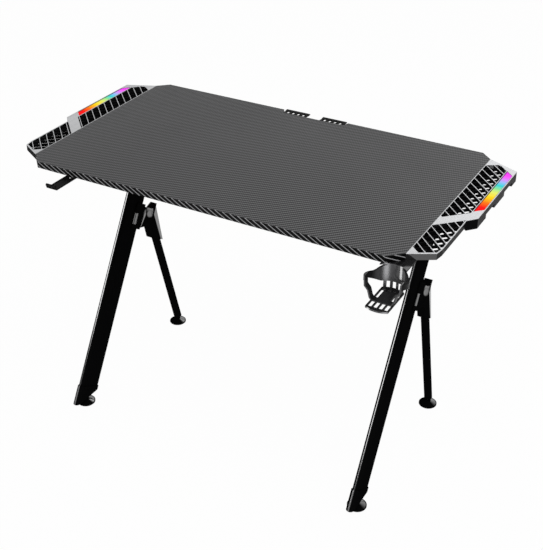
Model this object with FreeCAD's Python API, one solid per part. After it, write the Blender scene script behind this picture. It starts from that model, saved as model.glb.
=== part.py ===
import FreeCAD, Part
import math
import os
from FreeCAD import Vector

# Tabletop. X runs along the desk, Y from front to back, Z up from the floor.
TOP_HEIGHT = 752.0
BOARD_LENGTH = 1003.0
BOARD_DEPTH = 590.0
BOARD_THICKNESS = 16.0
LAMINATE_THICKNESS = 0.8
EDGE_BAND_THICKNESS = 1.0
FRONT_CORNER_CUT = 33.0
REAR_CORNER_CUT_X = 29.0
REAR_CORNER_CUT_Y = 27.0

# Cable recess in the back edge and its two combs
RECESS_LENGTH = 194.0
RECESS_DEPTH = 19.0
RECESS_END_SLANT = 6.0
COMB_GAP = 40.0
COMB_THICKNESS = 3.0
COMB_WEB = 1.6
COMB_BAR = 10.0
COMB_OVERHANG = 6.0
COMB_TEETH = 5
COMB_TOOTH_WIDTH = 7.0
COMB_TOOTH_SLANT = 2.5
COMB_SEAT_GAP = 0.2
COMB_SCREW_INSET = 12.0
COMB_FLANGE_LENGTH = 24.0

# Side wings
WING_FRONT_WIDTH = 60.5
WING_REAR_WIDTH = 79.5
WING_FRONT_SLANT = 32.4
WING_NOSE_WIDTH = 57.0
WING_NOSE_LENGTH = 22.0
WING_FRONT_LENGTH = 200.0
WING_STEP_LENGTH = 22.0
WING_REAR_SLANT = 36.0
WING_RIM = 1.6
WING_FRONT_RIM = 4.5
WING_OUTER_RIM = 2.0
FACEPLATE_THICKNESS = 1.2
GRILLE_DEPTH = 7.6
GRILLE_PITCH = 27.3
GRILLE_STRAND = 1.6
GRILLE_OFFSET = 3.0
GRILLE_START = 5.6
GRILLE_LEAST_CELL = 14.0
GRILLE_SHELF_WIDTH = 22.5
GRILLE_SHELF_THICKNESS = 2.0
FRONT_PLATE_LENGTH = 34.0
FRONT_PLATE_WIDTH = 21.3
REAR_PLATE_LENGTH = 17.0
REAR_PLATE_WIDTH = 27.5
GRILLE_END_CUT = 20.0
GRILLE_END_RISE = 3.0
BAR_SETBACK = 3.0
BAR_WIDTH = 28.6
SKIRT_DROP = 10.0
SKIRT_THICKNESS = 6.0
SKIRT_FRONT_LENGTH = 57.0
SKIRT_MIDDLE_START = 115.0
SKIRT_MIDDLE_LENGTH = 69.0
SKIRT_REAR_LENGTH = 32.0
WINDOW_WIDTH = 20.0
WINDOW_THICKNESS = 3.0
WINDOW_RECESS = 1.6
WINDOW_FRONT_GAP = 25.0
WINDOW_REAR_GAP = 8.0
WINDOW_CLEARANCE = 0.2
WINDOW_LEDGE = 1.5
WINDOW_RIM = 1.8
CHANNEL_FLOOR = 4.5
WING_TAB_LENGTH = 34.0
WING_TAB_WIDTH = 30.0
WING_TAB_THICKNESS = 4.0
WING_TAB_OVERLAP = 14.0
WING_TAB_FRONT_GAP = 82.0
WING_TAB_REAR_GAP = 68.0
WING_SCREW_SPACING = 18.0

# Light strip, controller and leads
STRIP_WIDTH = 10.0
STRIP_THICKNESS = 1.2
STRIP_END_GAP = 8.0
CHIP_SIZE = 5.0
CHIP_HEIGHT = 1.6
CHIP_COUNT = 12
CONNECTOR_SIZE = (10.0, 12.0, 10.0)
CONNECTOR_GAP = 50.0
CONNECTOR_INSET = 13.0
CONNECTOR_NECK = 4.0
LEAD_DIAMETER = 4.0
LEAD_DROP = 7.0
LEAD_BEND = 40.0
LEAD_PASS_DIAMETER = 9.0
CLIP_LENGTH = 8.0
CLIP_WIDTH = 14.0
CLIP_BORE_GAP = 0.2
CLIP_FLOOR = 2.0
CLIP_COUNTS = (4, 1)
CONTROLLER_SIDE_INSET = 251.5
CONTROLLER_SIZE = (70.0, 40.0, 18.0)
CONTROLLER_WALL = 2.0
CONTROLLER_EAR = 14.0
CONTROLLER_EAR_THICKNESS = 3.0
CONTROLLER_SCREW_OFFSET = 10.0
CIRCUIT_THICKNESS = 1.6
CIRCUIT_HEIGHT = 6.0
CIRCUIT_GAP = 0.5
POST_RADIUS = 2.5
POST_PIN_RADIUS = 1.4
POST_INSET = 5.0
BUTTON_RADIUS = 4.7
BUTTON_HOLE_RADIUS = 5.0
BUTTON_FLANGE_RADIUS = 6.5
BUTTON_FLANGE = 1.5
BUTTON_PROUD = 2.0
BUTTON_TRAVEL = 1.0
BUTTON_GAP = 0.3
SWITCH_SIZE = 6.0
BUTTON_OFFSET = 18.0
SOCKET_OFFSET = -14.0
PART_GAP = 0.2
LEAD_ENTRY = 8.0
SOCKET_SIZE = (11.0, 12.0, 10.0)
SOCKET_RADIUS = 2.8
SOCKET_PIN_RADIUS = 1.0
SOCKET_DEPTH = 9.0

# Steel frame under the board
RAIL_SIDE_INSET = 76.7
RAIL_WALL = 2.0
RAIL_HEIGHT = 30.0
RAIL_FRONT_INSET = 85.0
RAIL_BACK_INSET = 33.0
RAIL_SCREW_INSET = 16.0
FRONT_BEAM_GAP = 105.0
REAR_BEAM_GAP = 77.0
BEAM_DEPTH = 20.0
BEAM_HEIGHT = 28.0
BEAM_WALL = 1.5
BEAM_PLATE = 3.0
BEAM_PLATE_LENGTH = 60.0
BEAM_BOLT_SPACING = 44.0
BEAM_DROP = 1.0
LEG_SCREW_GAP = 65.0

# Legs
LEG_WIDTH = 17.0
LEG_DEPTH = 78.6
LEG_CORNER = 8.0
LEG_WALL = 1.5
FRONT_LEAN = 30.66
FRONT_LEG_SETBACK = 147.6
REAR_WIDTH = 18.0
REAR_DEPTH = 18.3
REAR_CORNER = 2.5
REAR_WALL = 1.2
REAR_LEAN = 15.2
REAR_TUBE_GAP = 89.5
LEG_AIM_HEIGHT = 22.0
TUBE_CLEARANCE = 0.3
LEG_BOLT_SPACING = 32.0
LEG_BOLT_DROP = 16.0

# Foot ends
CAP_WALL = 2.2
CAP_BOTTOM = 20.0
CAP_TOP = 47.0
FRONT_TUBE_END = 24.0
REAR_TUBE_END = 40.0
SHOE_SPIGOT = 25.0
SHOE_SPIGOT_GAP = 0.1
INSERT_RADIUS = 5.2
INSERT_LENGTH = 16.0
STUD_RADIUS = 3.95
STUD_BORE_GAP = 0.05
STUD_TOP = 31.0
PAD_RADIUS = 25.0
PAD_RIM = 4.0
PAD_DOME_RADIUS = 22.5
PAD_NECK_RADIUS = 8.0
PAD_DOME_TOP = 11.0
PAD_HEIGHT = 15.5
PAD_EDGE_ROUND = 1.2
PAD_STUD_DEPTH = 9.0

# Bracket between the two tubes of a leg
SADDLE_CENTRE = 476.0
SADDLE_LENGTH = 73.0
SADDLE_GRIP = 37.3
SADDLE_CHEEK = 4.5
SADDLE_BACK = 2.5
SADDLE_BEVEL = 1.2
SADDLE_HOLLOW_RADIUS = 19.5
SADDLE_HOLLOW_DEPTH = 2.2
SADDLE_HOLLOW_LENGTH = 31.5
SADDLE_HOLLOW_DROP = 24.0
SADDLE_HOLLOW_BEHIND = 8.0
BRACKET_WIDTH = 21.6
REAR_TUBE_DROP = 56.0
# Outline of the web and housing, and places on it:
# each point is given as (behind the rear tube's centre line, above the saddle's centre)
HOUSING_OUTLINE = (
    (-35.0, -60.0),
    (-24.0, -74.0),
    (-25.0, -112.0),
    (18.0, -142.0),
    (33.0, -12.5),
    (7.5, -19.5),
)
HOUSING_BEVEL_CORNER = (9.0, -41.0)
HOUSING_BEVEL_ANGLE = 11.0
LEAF_CENTRE = (-14.0, -25.0)
LEAF_TIP = (-66.0, -55.0)
LEAF_RADIUS = 46.0
LEAF_SINK = 6.6
WEB_TOP_ALONG = 30.0
WEB_BOTTOM_ALONG = 33.6
BRACKET_SCREW_LENGTH = 8.0
SADDLE_SCREW_SPACING = 44.0
SADDLE_SCREW_BEHIND = 23.0
HOUSING_SCREW_DROPS = (72.0, 112.0)

# Headphone hook
HOOK_SIDE_INSET = 136.5
HOOK_WIDTH = 28.0
HOOK_THICKNESS = 3.0
HOOK_REACH = 75.0
HOOK_BEND = 6.0
HOOK_LIP = 4.5
HOOK_ROLL_RADIUS = 3.2
HOOK_ROOT = 62.0
HOOK_EDGE_RIM = 2.5
HOOK_GROOVE = 1.0
HOOK_HOLE_RADIUS = 3.2
HOOK_HOLE_GAP = 3.6
HOOK_SCREW_PLACES = (20.0, 46.0)

# Cup holder under the right front corner
CUP_SIDE_INSET = 10.5
CUP_FORWARD = 39.0
CUP_RADIUS = 48.0
CUP_WALL = 3.0
CUP_DEPTH = 64.0
CUP_BASE_THICKNESS = 4.0
CUP_BASE_WIDTH = 52.0
CUP_BASE_BULGE = 7.0
CUP_BARS = 5
CUP_BAR_WIDTH = 3.4
CUP_BASE_LIP = 4.0
CUP_BASE_HEEL = 7.0
CUP_RIBS = 4
CUP_RIB_WIDTH = 5.5
CUP_RIB_PITCH = 13.4
CUP_PAD_WIDTH = 28.0
CUP_PAD_DEPTH = 50.0
CUP_BACK_HEIGHT = 43.0
CUP_BACK_BEHIND = 36.0
CUP_TIP_FORWARD = 22.0
CUP_TIP_TOP = 3.0
CUP_TIP_HEIGHT = 12.0
CUP_SHOULDER_DROP = 3.8
CUP_WAIST_BEHIND = 24.0
CUP_WAIST_DROP = 15.0
CUP_WAIST_RISE = 1.5
CUP_WAIST_HEIGHT = 20.0
CUP_HOOP_WIDTH = 15.0
CUP_HOOP_THICKNESS = 3.0
# Bends of the hoop's outer face, each as (from the cup's centre line, below the ring's top)
CUP_HOOP_BENDS = ((41.0, 28.0), (33.0, 37.0), (28.5, 53.5))
CUP_HOOP_FOOT = 23.0
CUP_FLANGE_THICKNESS = 3.0
CUP_FLANGE_WIDTH = 62.0
CUP_FLANGE_LENGTH = 57.0
CUP_FLANGE_FRONT = 8.0
CUP_SCREW_INSET = 12.0
CUP_SCREW_PLACES = (-22.0, 4.0)

# Screws and bolts, and the room round them
SCREW_RADIUS = 2.0
SCREW_HEAD_RADIUS = 4.0
SCREW_HEAD_HEIGHT = 2.4
SCREW_DEPTH = 11.0
BOLT_RADIUS = 3.0
BOLT_HEAD_RADIUS = 5.0
BOLT_HEAD_HEIGHT = 4.0
BOLT_NUT_HEIGHT = 5.0
LEG_BOLT_RADIUS = 4.0
LEG_BOLT_HEAD_RADIUS = 6.5
FASTENER_GAP = 0.1

# Places that follow from the sizes above
UNDERSIDE = TOP_HEIGHT - BOARD_THICKNESS
HALF_LENGTH = BOARD_LENGTH / 2
FRONT_EDGE = -BOARD_DEPTH / 2
BACK_EDGE = BOARD_DEPTH / 2
SEAM_FRONT = FRONT_EDGE + FRONT_CORNER_CUT
SEAM_BACK = BACK_EDGE - REAR_CORNER_CUT_Y
RAIL_X = HALF_LENGTH - RAIL_SIDE_INSET
RAIL_INNER_HALF = LEG_WIDTH / 2 + TUBE_CLEARANCE
RAIL_HALF = RAIL_INNER_HALF + RAIL_WALL
RAIL_LOW = UNDERSIDE - RAIL_HEIGHT
RAIL_FRONT = FRONT_EDGE + RAIL_FRONT_INSET
RAIL_BACK = BACK_EDGE - RAIL_BACK_INSET
FACEPLATE_BOTTOM = TOP_HEIGHT - FACEPLATE_THICKNESS
GRILLE_BOTTOM = FACEPLATE_BOTTOM - GRILLE_DEPTH
CHANNEL_BOTTOM = UNDERSIDE + CHANNEL_FLOOR
WINDOW_TOP = TOP_HEIGHT - WINDOW_RECESS
WINDOW_BOTTOM = WINDOW_TOP - WINDOW_THICKNESS
WING_INNER_OUTER = HALF_LENGTH + WING_FRONT_WIDTH
WING_OUTER = HALF_LENGTH + WING_REAR_WIDTH
STEP_FRONT = SEAM_FRONT + WING_FRONT_LENGTH
STEP_BACK = STEP_FRONT + WING_STEP_LENGTH
WING_REAR_CORNER = SEAM_BACK - WING_REAR_SLANT
WINDOW_OUTER = WING_OUTER - WINDOW_RIM
WINDOW_INNER = WINDOW_OUTER - WINDOW_WIDTH
WINDOW_FRONT = STEP_BACK + WINDOW_FRONT_GAP
WINDOW_BACK = WING_REAR_CORNER - WINDOW_REAR_GAP
BAR_FRONT = STEP_FRONT + BAR_SETBACK - WING_INNER_OUTER
BAR_BACK = BAR_FRONT + BAR_WIDTH * math.sqrt(2)
GRILLE_STEP = GRILLE_PITCH / 2
GRILLE_HALF_CELL = GRILLE_STEP - GRILLE_STRAND / math.sqrt(2)
GRILLE_INNER = HALF_LENGTH + WING_RIM
GRILLE_ORIGIN = HALF_LENGTH + GRILLE_OFFSET
GRILLE_MIDDLE = GRILLE_ORIGIN + BAR_BACK + GRILLE_START
GRILLE_ROWS = int(BOARD_DEPTH / GRILLE_STEP) + 2
LEAD_Y = (BAR_FRONT + BAR_BACK) / 2 + HALF_LENGTH
LEAD_Z = UNDERSIDE - LEAD_DROP
CONNECTOR_X = WING_OUTER - CONNECTOR_INSET
CONNECTOR_FRONT = STEP_BACK + CONNECTOR_GAP
CONTROLLER_X = HALF_LENGTH - CONTROLLER_SIDE_INSET
CONTROLLER_REACH = CONTROLLER_SIZE[0] / 2 + CONTROLLER_EAR
CONTROLLER_LOW = UNDERSIDE - CONTROLLER_SIZE[2]
CIRCUIT_LOW = CONTROLLER_LOW + CIRCUIT_HEIGHT
LEG_BOLT_Z = UNDERSIDE - LEG_BOLT_DROP
LEG_TOP_Y = BACK_EDGE - FRONT_LEG_SETBACK
FRONT_SLOPE = math.tan(math.radians(FRONT_LEAN))
REAR_SLOPE = math.tan(math.radians(REAR_LEAN))
FRONT_FOOT_Y = LEG_TOP_Y - (LEG_BOLT_Z - LEG_AIM_HEIGHT) * FRONT_SLOPE
REAR_TUBE_TOP = SADDLE_CENTRE - REAR_TUBE_DROP
BRACKET_Y = FRONT_FOOT_Y + (SADDLE_CENTRE - LEG_AIM_HEIGHT) * FRONT_SLOPE
REAR_FOOT_Y = BRACKET_Y + REAR_TUBE_GAP + (REAR_TUBE_TOP - LEG_AIM_HEIGHT) * REAR_SLOPE
BEAM_PLACES = (LEG_TOP_Y - FRONT_BEAM_GAP, LEG_TOP_Y + REAR_BEAM_GAP)
BEAM_Z = UNDERSIDE - BEAM_DROP - BEAM_HEIGHT / 2
CUP_X = HALF_LENGTH - CUP_SIDE_INSET
CUP_Y = FRONT_EDGE - CUP_FORWARD
CUP_FLOOR = UNDERSIDE - CUP_DEPTH
HOOK_X = HOOK_SIDE_INSET - HALF_LENGTH
HOOK_END = FRONT_EDGE - HOOK_REACH
FOOTPRINT_FRONT = CUP_Y - CUP_RADIUS - CUP_BASE_BULGE / 2
FOOTPRINT_BACK = BACK_EDGE + COMB_OVERHANG
ORIGIN_SHIFT = Vector(0, -(FOOTPRINT_FRONT + FOOTPRINT_BACK) / 2, 0)
SIDES = ((-1, "left"), (1, "right"))
UP = Vector(0, 0, 1)
ACROSS = Vector(1, 0, 0)


def prism(points, low, high):
    """Upright solid over an outline of (x, y) points."""
    corners = [Vector(x, y, low) for x, y in points]
    face = Part.Face(Part.makePolygon(corners + corners[:1]))
    return face.extrude(Vector(0, 0, high - low))


def side_prism(points, left, right):
    """Solid between two X planes over an outline of (y, z) points."""
    corners = [Vector(left, y, z) for y, z in points]
    face = Part.Face(Part.makePolygon(corners + corners[:1]))
    return face.extrude(Vector(right - left, 0, 0))


def end_prism(points, front, back):
    """Solid between two Y planes over an outline of (x, z) points."""
    corners = [Vector(x, front, z) for x, z in points]
    face = Part.Face(Part.makePolygon(corners + corners[:1]))
    return face.extrude(Vector(0, back - front, 0))


def block(x_low, x_high, y_low, y_high, z_low, z_high):
    corner = Vector(x_low, y_low, z_low)
    return Part.makeBox(x_high - x_low, y_high - y_low, z_high - z_low, corner)


def rod(start, direction, radius, length):
    return Part.makeCylinder(radius, length, start, direction)


def joined(pieces):
    whole = pieces[0]
    if len(pieces) > 1:
        whole = whole.multiFuse(pieces[1:])
    return whole.removeSplitter()


def without(shape, holes):
    return shape.cut(Part.makeCompound(holes))


def mirrored(shape):
    return shape.mirror(Vector(0, 0, 0), ACROSS)


def rounded_bar(width, depth, corner, low, high):
    """Upright bar with rounded long edges, centred on the Z axis."""
    bar = block(-width / 2, width / 2, -depth / 2, depth / 2, low, high)
    upright = [edge for edge in bar.Edges if edge.BoundBox.ZLength > corner]
    return bar.makeFillet(corner, upright)


def front_axis(height):
    return FRONT_FOOT_Y + (height - LEG_AIM_HEIGHT) * FRONT_SLOPE


def rear_axis(height):
    return REAR_FOOT_Y - (height - LEG_AIM_HEIGHT) * REAR_SLOPE


def on_front_leg(shape, height):
    """Carries a shape drawn about the Z axis onto the front leg's centre line."""
    turned = shape.rotated(Vector(0, 0, 0), ACROSS, -FRONT_LEAN)
    return turned.translated(Vector(0, front_axis(height), height))


def on_rear_leg(shape, height):
    turned = shape.rotated(Vector(0, 0, 0), ACROSS, REAR_LEAN)
    return turned.translated(Vector(0, rear_axis(height), height))


def front_leg_point(height, along, behind):
    """Side view place a distance up and behind the front leg's centre line."""
    lean = math.radians(FRONT_LEAN)
    y = front_axis(height) + along * math.sin(lean) + behind * math.cos(lean)
    return y, height + along * math.cos(lean) - behind * math.sin(lean)


def clipped(points, region):
    """Part of an outline that lies inside a convex region, both counterclockwise."""
    kept = list(points)
    for index, (ax, ay) in enumerate(region):
        bx, by = region[(index + 1) % len(region)]
        given = kept
        kept = []
        for place, (px, py) in enumerate(given):
            qx, qy = given[(place + 1) % len(given)]
            p_in = (bx - ax) * (py - ay) - (by - ay) * (px - ax)
            q_in = (bx - ax) * (qy - ay) - (by - ay) * (qx - ax)
            if p_in >= 0:
                kept.append((px, py))
            if p_in * q_in < 0:
                share = p_in / (p_in - q_in)
                kept.append((px + share * (qx - px), py + share * (qy - py)))
    return kept


def outline_area(points):
    total = 0.0
    for index, (ax, ay) in enumerate(points):
        bx, by = points[(index + 1) % len(points)]
        total += ax * by - bx * ay
    return total / 2


def screw(seat, direction, length):
    """Pan head screw with the underside of its head at the seat."""
    shank = rod(seat, direction, SCREW_RADIUS, length)
    head = rod(seat - direction * SCREW_HEAD_HEIGHT, direction, SCREW_HEAD_RADIUS, SCREW_HEAD_HEIGHT)
    return joined([head, shank])


def screw_hole(seat, direction, length):
    start = seat - direction * SCREW_HEAD_HEIGHT
    return rod(start, direction, SCREW_RADIUS + FASTENER_GAP, length + SCREW_HEAD_HEIGHT)


def nut_bolt(seat, direction, radius, head_radius, grip):
    """Bolt with its head at the seat and a nut at the far end of the grip."""
    head = rod(seat - direction * BOLT_HEAD_HEIGHT, direction, head_radius, BOLT_HEAD_HEIGHT)
    shank = rod(seat, direction, radius, grip)
    nut = rod(seat + direction * grip, direction, head_radius, BOLT_NUT_HEIGHT)
    return joined([head, shank, nut])


def wing_tab_places():
    first = SEAM_FRONT + WING_TAB_FRONT_GAP
    last = SEAM_BACK - WING_TAB_REAR_GAP
    return first, (first + last) / 2, last


def rail_screw_places():
    first = RAIL_FRONT + RAIL_SCREW_INSET
    by_leg = LEG_TOP_Y - LEG_SCREW_GAP
    return first, (first + by_leg) / 2, by_leg, RAIL_BACK - RAIL_SCREW_INSET


def comb_span(side):
    inner = COMB_GAP / 2
    outer = RECESS_LENGTH / 2 - RECESS_END_SLANT - COMB_SEAT_GAP
    return min(side * inner, side * outer), max(side * inner, side * outer)


def rail_seats():
    places = rail_screw_places()
    return [Vector(side * RAIL_X, y, UNDERSIDE - RAIL_WALL) for side, name in SIDES for y in places]


def wing_seats(side):
    x = side * (HALF_LENGTH - WING_TAB_LENGTH / 2)
    z = UNDERSIDE - WING_TAB_THICKNESS
    offsets = (-WING_SCREW_SPACING / 2, WING_SCREW_SPACING / 2)
    return [Vector(x, y + offset, z) for y in wing_tab_places() for offset in offsets]


def comb_seats(side):
    left, right = comb_span(side)
    y = BACK_EDGE - RECESS_DEPTH - COMB_FLANGE_LENGTH / 2
    places = (left + COMB_SCREW_INSET, right - COMB_SCREW_INSET)
    return [Vector(x, y, UNDERSIDE - COMB_THICKNESS) for x in places]


def hook_seats():
    return [Vector(HOOK_X, FRONT_EDGE + y, UNDERSIDE - HOOK_THICKNESS) for y in HOOK_SCREW_PLACES]


def cup_seats():
    y = FRONT_EDGE + CUP_FLANGE_LENGTH - CUP_SCREW_INSET
    return [Vector(CUP_X + x, y, UNDERSIDE - CUP_FLANGE_THICKNESS) for x in CUP_SCREW_PLACES]


def controller_seats():
    reach = CONTROLLER_SIZE[0] / 2 + CONTROLLER_EAR / 2
    turn = CONTROLLER_SCREW_OFFSET
    z = UNDERSIDE - CONTROLLER_EAR_THICKNESS
    return [Vector(CONTROLLER_X + side * reach, LEAD_Y + side * turn, z) for side, name in SIDES]


def board_screws(seats):
    return [screw(seat, UP, SCREW_DEPTH) for seat in seats]


def corner_cut(cut_x, cut_y, inset):
    """Ends of a cut corner as distances in from the board's sides, for an outline set in by a band."""
    spread = 1 + inset * math.hypot(cut_x, cut_y) / (cut_x * cut_y)
    return cut_y * spread, cut_x * (spread - inset / cut_y)


def tabletop_outline(inset):
    front_y, front_x = corner_cut(FRONT_CORNER_CUT, FRONT_CORNER_CUT, inset)
    rear_y, rear_x = corner_cut(REAR_CORNER_CUT_X, REAR_CORNER_CUT_Y, inset)
    right = [
        (HALF_LENGTH - front_x, FRONT_EDGE + inset),
        (HALF_LENGTH, FRONT_EDGE + front_y),
        (HALF_LENGTH, BACK_EDGE - rear_y),
        (HALF_LENGTH - rear_x, BACK_EDGE - inset),
    ]
    return right + [(-x, y) for x, y in reversed(right)]


def recess_outline():
    """The cable recess, drawn past the back edge so it cuts clean."""
    deep = BACK_EDGE - RECESS_DEPTH
    inner = RECESS_LENGTH / 2 - RECESS_END_SLANT
    outer = RECESS_LENGTH / 2 + RECESS_END_SLANT
    past = BACK_EDGE + RECESS_DEPTH
    return [(-inner, deep), (inner, deep), (outer, past), (-outer, past)]


def tabletop():
    laminate_low = TOP_HEIGHT - LAMINATE_THICKNESS
    recess = prism(recess_outline(), UNDERSIDE, TOP_HEIGHT)
    inner = tabletop_outline(EDGE_BAND_THICKNESS)
    seats = rail_seats() + hook_seats() + cup_seats() + controller_seats()
    for side, name in SIDES:
        seats += wing_seats(side) + comb_seats(side)
    holes = [screw_hole(seat, UP, SCREW_DEPTH) for seat in seats]
    core = without(prism(inner, UNDERSIDE, laminate_low), [recess] + holes)
    laminate = prism(inner, laminate_low, TOP_HEIGHT).cut(recess)
    whole = prism(tabletop_outline(0.0), UNDERSIDE, TOP_HEIGHT)
    bands = whole.cut(prism(inner, UNDERSIDE, TOP_HEIGHT)).Solids
    front = [band for band in bands if band.CenterOfMass.y < 0]
    rear = [band.cut(recess) for band in bands if band.CenterOfMass.y > 0]
    return core, laminate, front[0], rear[0]


def cable_comb(side):
    """Slotted cover over half of the cable recess, with a web and a screw flange below."""
    left, right = comb_span(side)
    wall = BACK_EDGE - RECESS_DEPTH + COMB_SEAT_GAP
    low = UNDERSIDE - COMB_THICKNESS
    plate_low = TOP_HEIGHT - COMB_THICKNESS
    bar_front = FOOTPRINT_BACK - COMB_BAR
    pieces = [
        block(left, right, wall, wall + COMB_WEB, low, TOP_HEIGHT),
        block(left, right, wall - COMB_FLANGE_LENGTH, wall + COMB_WEB, low, UNDERSIDE),
        block(left, right, bar_front, FOOTPRINT_BACK, plate_low, TOP_HEIGHT),
    ]
    pitch = (right - left - COMB_TOOTH_WIDTH - COMB_TOOTH_SLANT) / (COMB_TEETH - 1)
    for tooth in range(COMB_TEETH):
        x = left + tooth * pitch
        tip = x + COMB_TOOTH_SLANT
        wide = COMB_TOOTH_WIDTH
        outline = [(x, wall), (x + wide, wall), (tip + wide, bar_front), (tip, bar_front)]
        pieces.append(prism(outline, plate_low, TOP_HEIGHT))
    return without(joined(pieces), [screw_hole(seat, UP, SCREW_DEPTH) for seat in comb_seats(side)])


def wing_outline():
    nose_y = SEAM_FRONT + WING_FRONT_SLANT
    return [
        (HALF_LENGTH, SEAM_FRONT),
        (HALF_LENGTH + WING_NOSE_WIDTH, nose_y),
        (WING_INNER_OUTER, nose_y + WING_NOSE_LENGTH),
        (WING_INNER_OUTER, STEP_FRONT),
        (WING_OUTER, STEP_BACK),
        (WING_OUTER, WING_REAR_CORNER),
        (HALF_LENGTH, SEAM_BACK),
    ]


def grille_regions():
    """The two open fields of the wing, in front of and behind the slanted bar."""
    inner = GRILLE_INNER
    outer = WING_INNER_OUTER - WING_OUTER_RIM
    plate_x = HALF_LENGTH + FRONT_PLATE_WIDTH
    nose_x = HALF_LENGTH + WING_NOSE_WIDTH - WING_OUTER_RIM
    edge_slope = WING_FRONT_SLANT / WING_NOSE_WIDTH
    edge_low = SEAM_FRONT + WING_FRONT_RIM
    nose_y = SEAM_FRONT + WING_FRONT_SLANT + WING_NOSE_LENGTH
    front = [
        (inner, SEAM_FRONT + FRONT_PLATE_LENGTH),
        (plate_x, edge_low + (plate_x - HALF_LENGTH) * edge_slope),
        (nose_x, edge_low + (nose_x - HALF_LENGTH) * edge_slope),
        (outer, nose_y),
        (outer, outer + BAR_FRONT),
        (inner, inner + BAR_FRONT),
    ]
    rear_outer = WINDOW_INNER - WINDOW_LEDGE
    end_x = rear_outer - GRILLE_END_CUT
    end_y = WINDOW_BACK + GRILLE_END_CUT
    plate_y = end_y + GRILLE_END_RISE
    rear = [
        (inner, inner + BAR_BACK),
        (rear_outer, rear_outer + BAR_BACK),
        (rear_outer, WINDOW_BACK),
        (end_x, end_y),
        (HALF_LENGTH + REAR_PLATE_WIDTH, plate_y),
        (inner, plate_y - REAR_PLATE_LENGTH),
    ]
    return front, rear


def kept_cells(outlines):
    """Outlines trimmed by the two open fields, without the smallest scraps."""
    cells = []
    for region in grille_regions():
        for outline in outlines:
            cell = clipped(outline, region)
            if len(cell) > 2 and outline_area(cell) > GRILLE_LEAST_CELL:
                cells.append(cell)
    return cells


def grille_cells():
    """Diamond holes between the crossing strands."""
    half = GRILLE_HALF_CELL
    columns = int(WING_REAR_WIDTH / GRILLE_STEP) + 2
    diamonds = []
    for column in range(-1, columns):
        for row in range(-GRILLE_ROWS, GRILLE_ROWS):
            if (column + row) % 2 == 0:
                continue
            x = GRILLE_ORIGIN + column * GRILLE_STEP
            y = GRILLE_MIDDLE + row * GRILLE_STEP
            diamonds.append([(x + half, y), (x, y + half), (x - half, y), (x, y - half)])
    return kept_cells(diamonds)


def grille_slits(lean):
    """Gaps between strands that all run one way: with a lean of 1, outwards and to the front."""
    left = HALF_LENGTH
    right = WING_OUTER
    slits = []
    for row in range(-GRILLE_ROWS, GRILLE_ROWS):
        if row % 2 == 0:
            continue
        middle = GRILLE_MIDDLE + lean * GRILLE_ORIGIN + row * GRILLE_STEP
        low = middle - GRILLE_HALF_CELL
        high = middle + GRILLE_HALF_CELL
        slits.append([
            (left, low - lean * left),
            (right, low - lean * right),
            (right, high - lean * right),
            (left, high - lean * left),
        ])
    return kept_cells(slits)


def open_fields():
    """The parts of the two fields that stay open below, clear of the shelf beside the board."""
    edge = HALF_LENGTH + GRILLE_SHELF_WIDTH
    beyond = [(edge, FRONT_EDGE), (WING_OUTER, FRONT_EDGE), (WING_OUTER, BACK_EDGE), (edge, BACK_EDGE)]
    return [clipped(region, beyond) for region in grille_regions()]


def window_outline(inset):
    """The light window, its two ends cut at a slant."""
    left = WINDOW_INNER + inset
    right = WINDOW_OUTER - inset
    front = WINDOW_FRONT + inset * math.sqrt(2)
    back = WINDOW_BACK - inset * math.sqrt(2)
    width = right - left
    return [
        (left, front + inset),
        (right, front + inset + width),
        (right, back - inset - width),
        (left, back - inset),
    ]


def skirt_blocks():
    low = UNDERSIDE - SKIRT_DROP
    inner = WING_OUTER - SKIRT_THICKNESS
    step = math.hypot(WING_STEP_LENGTH, WING_OUTER - WING_INNER_OUTER)
    in_x = SKIRT_THICKNESS * WING_STEP_LENGTH / step
    in_y = SKIRT_THICKNESS * (WING_OUTER - WING_INNER_OUTER) / step
    slanted = [
        (WING_INNER_OUTER, STEP_FRONT),
        (WING_OUTER, STEP_BACK),
        (WING_OUTER - in_x, STEP_BACK + in_y),
        (WING_INNER_OUTER - in_x, STEP_FRONT + in_y),
    ]
    spans = (
        (STEP_BACK, STEP_BACK + SKIRT_FRONT_LENGTH),
        (STEP_BACK + SKIRT_MIDDLE_START, STEP_BACK + SKIRT_MIDDLE_START + SKIRT_MIDDLE_LENGTH),
        (WING_REAR_CORNER - SKIRT_REAR_LENGTH, WING_REAR_CORNER),
    )
    blocks = [prism(slanted, low, UNDERSIDE)]
    return blocks + [block(inner, WING_OUTER, front, back, low, UNDERSIDE) for front, back in spans]


def connector_neck(gap):
    """Short square neck that carries the wires through the channel floor."""
    half = CONNECTOR_NECK / 2 + gap
    y = CONNECTOR_FRONT + CONNECTOR_SIZE[1] / 2
    return block(CONNECTOR_X - half, CONNECTOR_X + half, y - half, y + half, UNDERSIDE, CHANNEL_BOTTOM)


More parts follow.
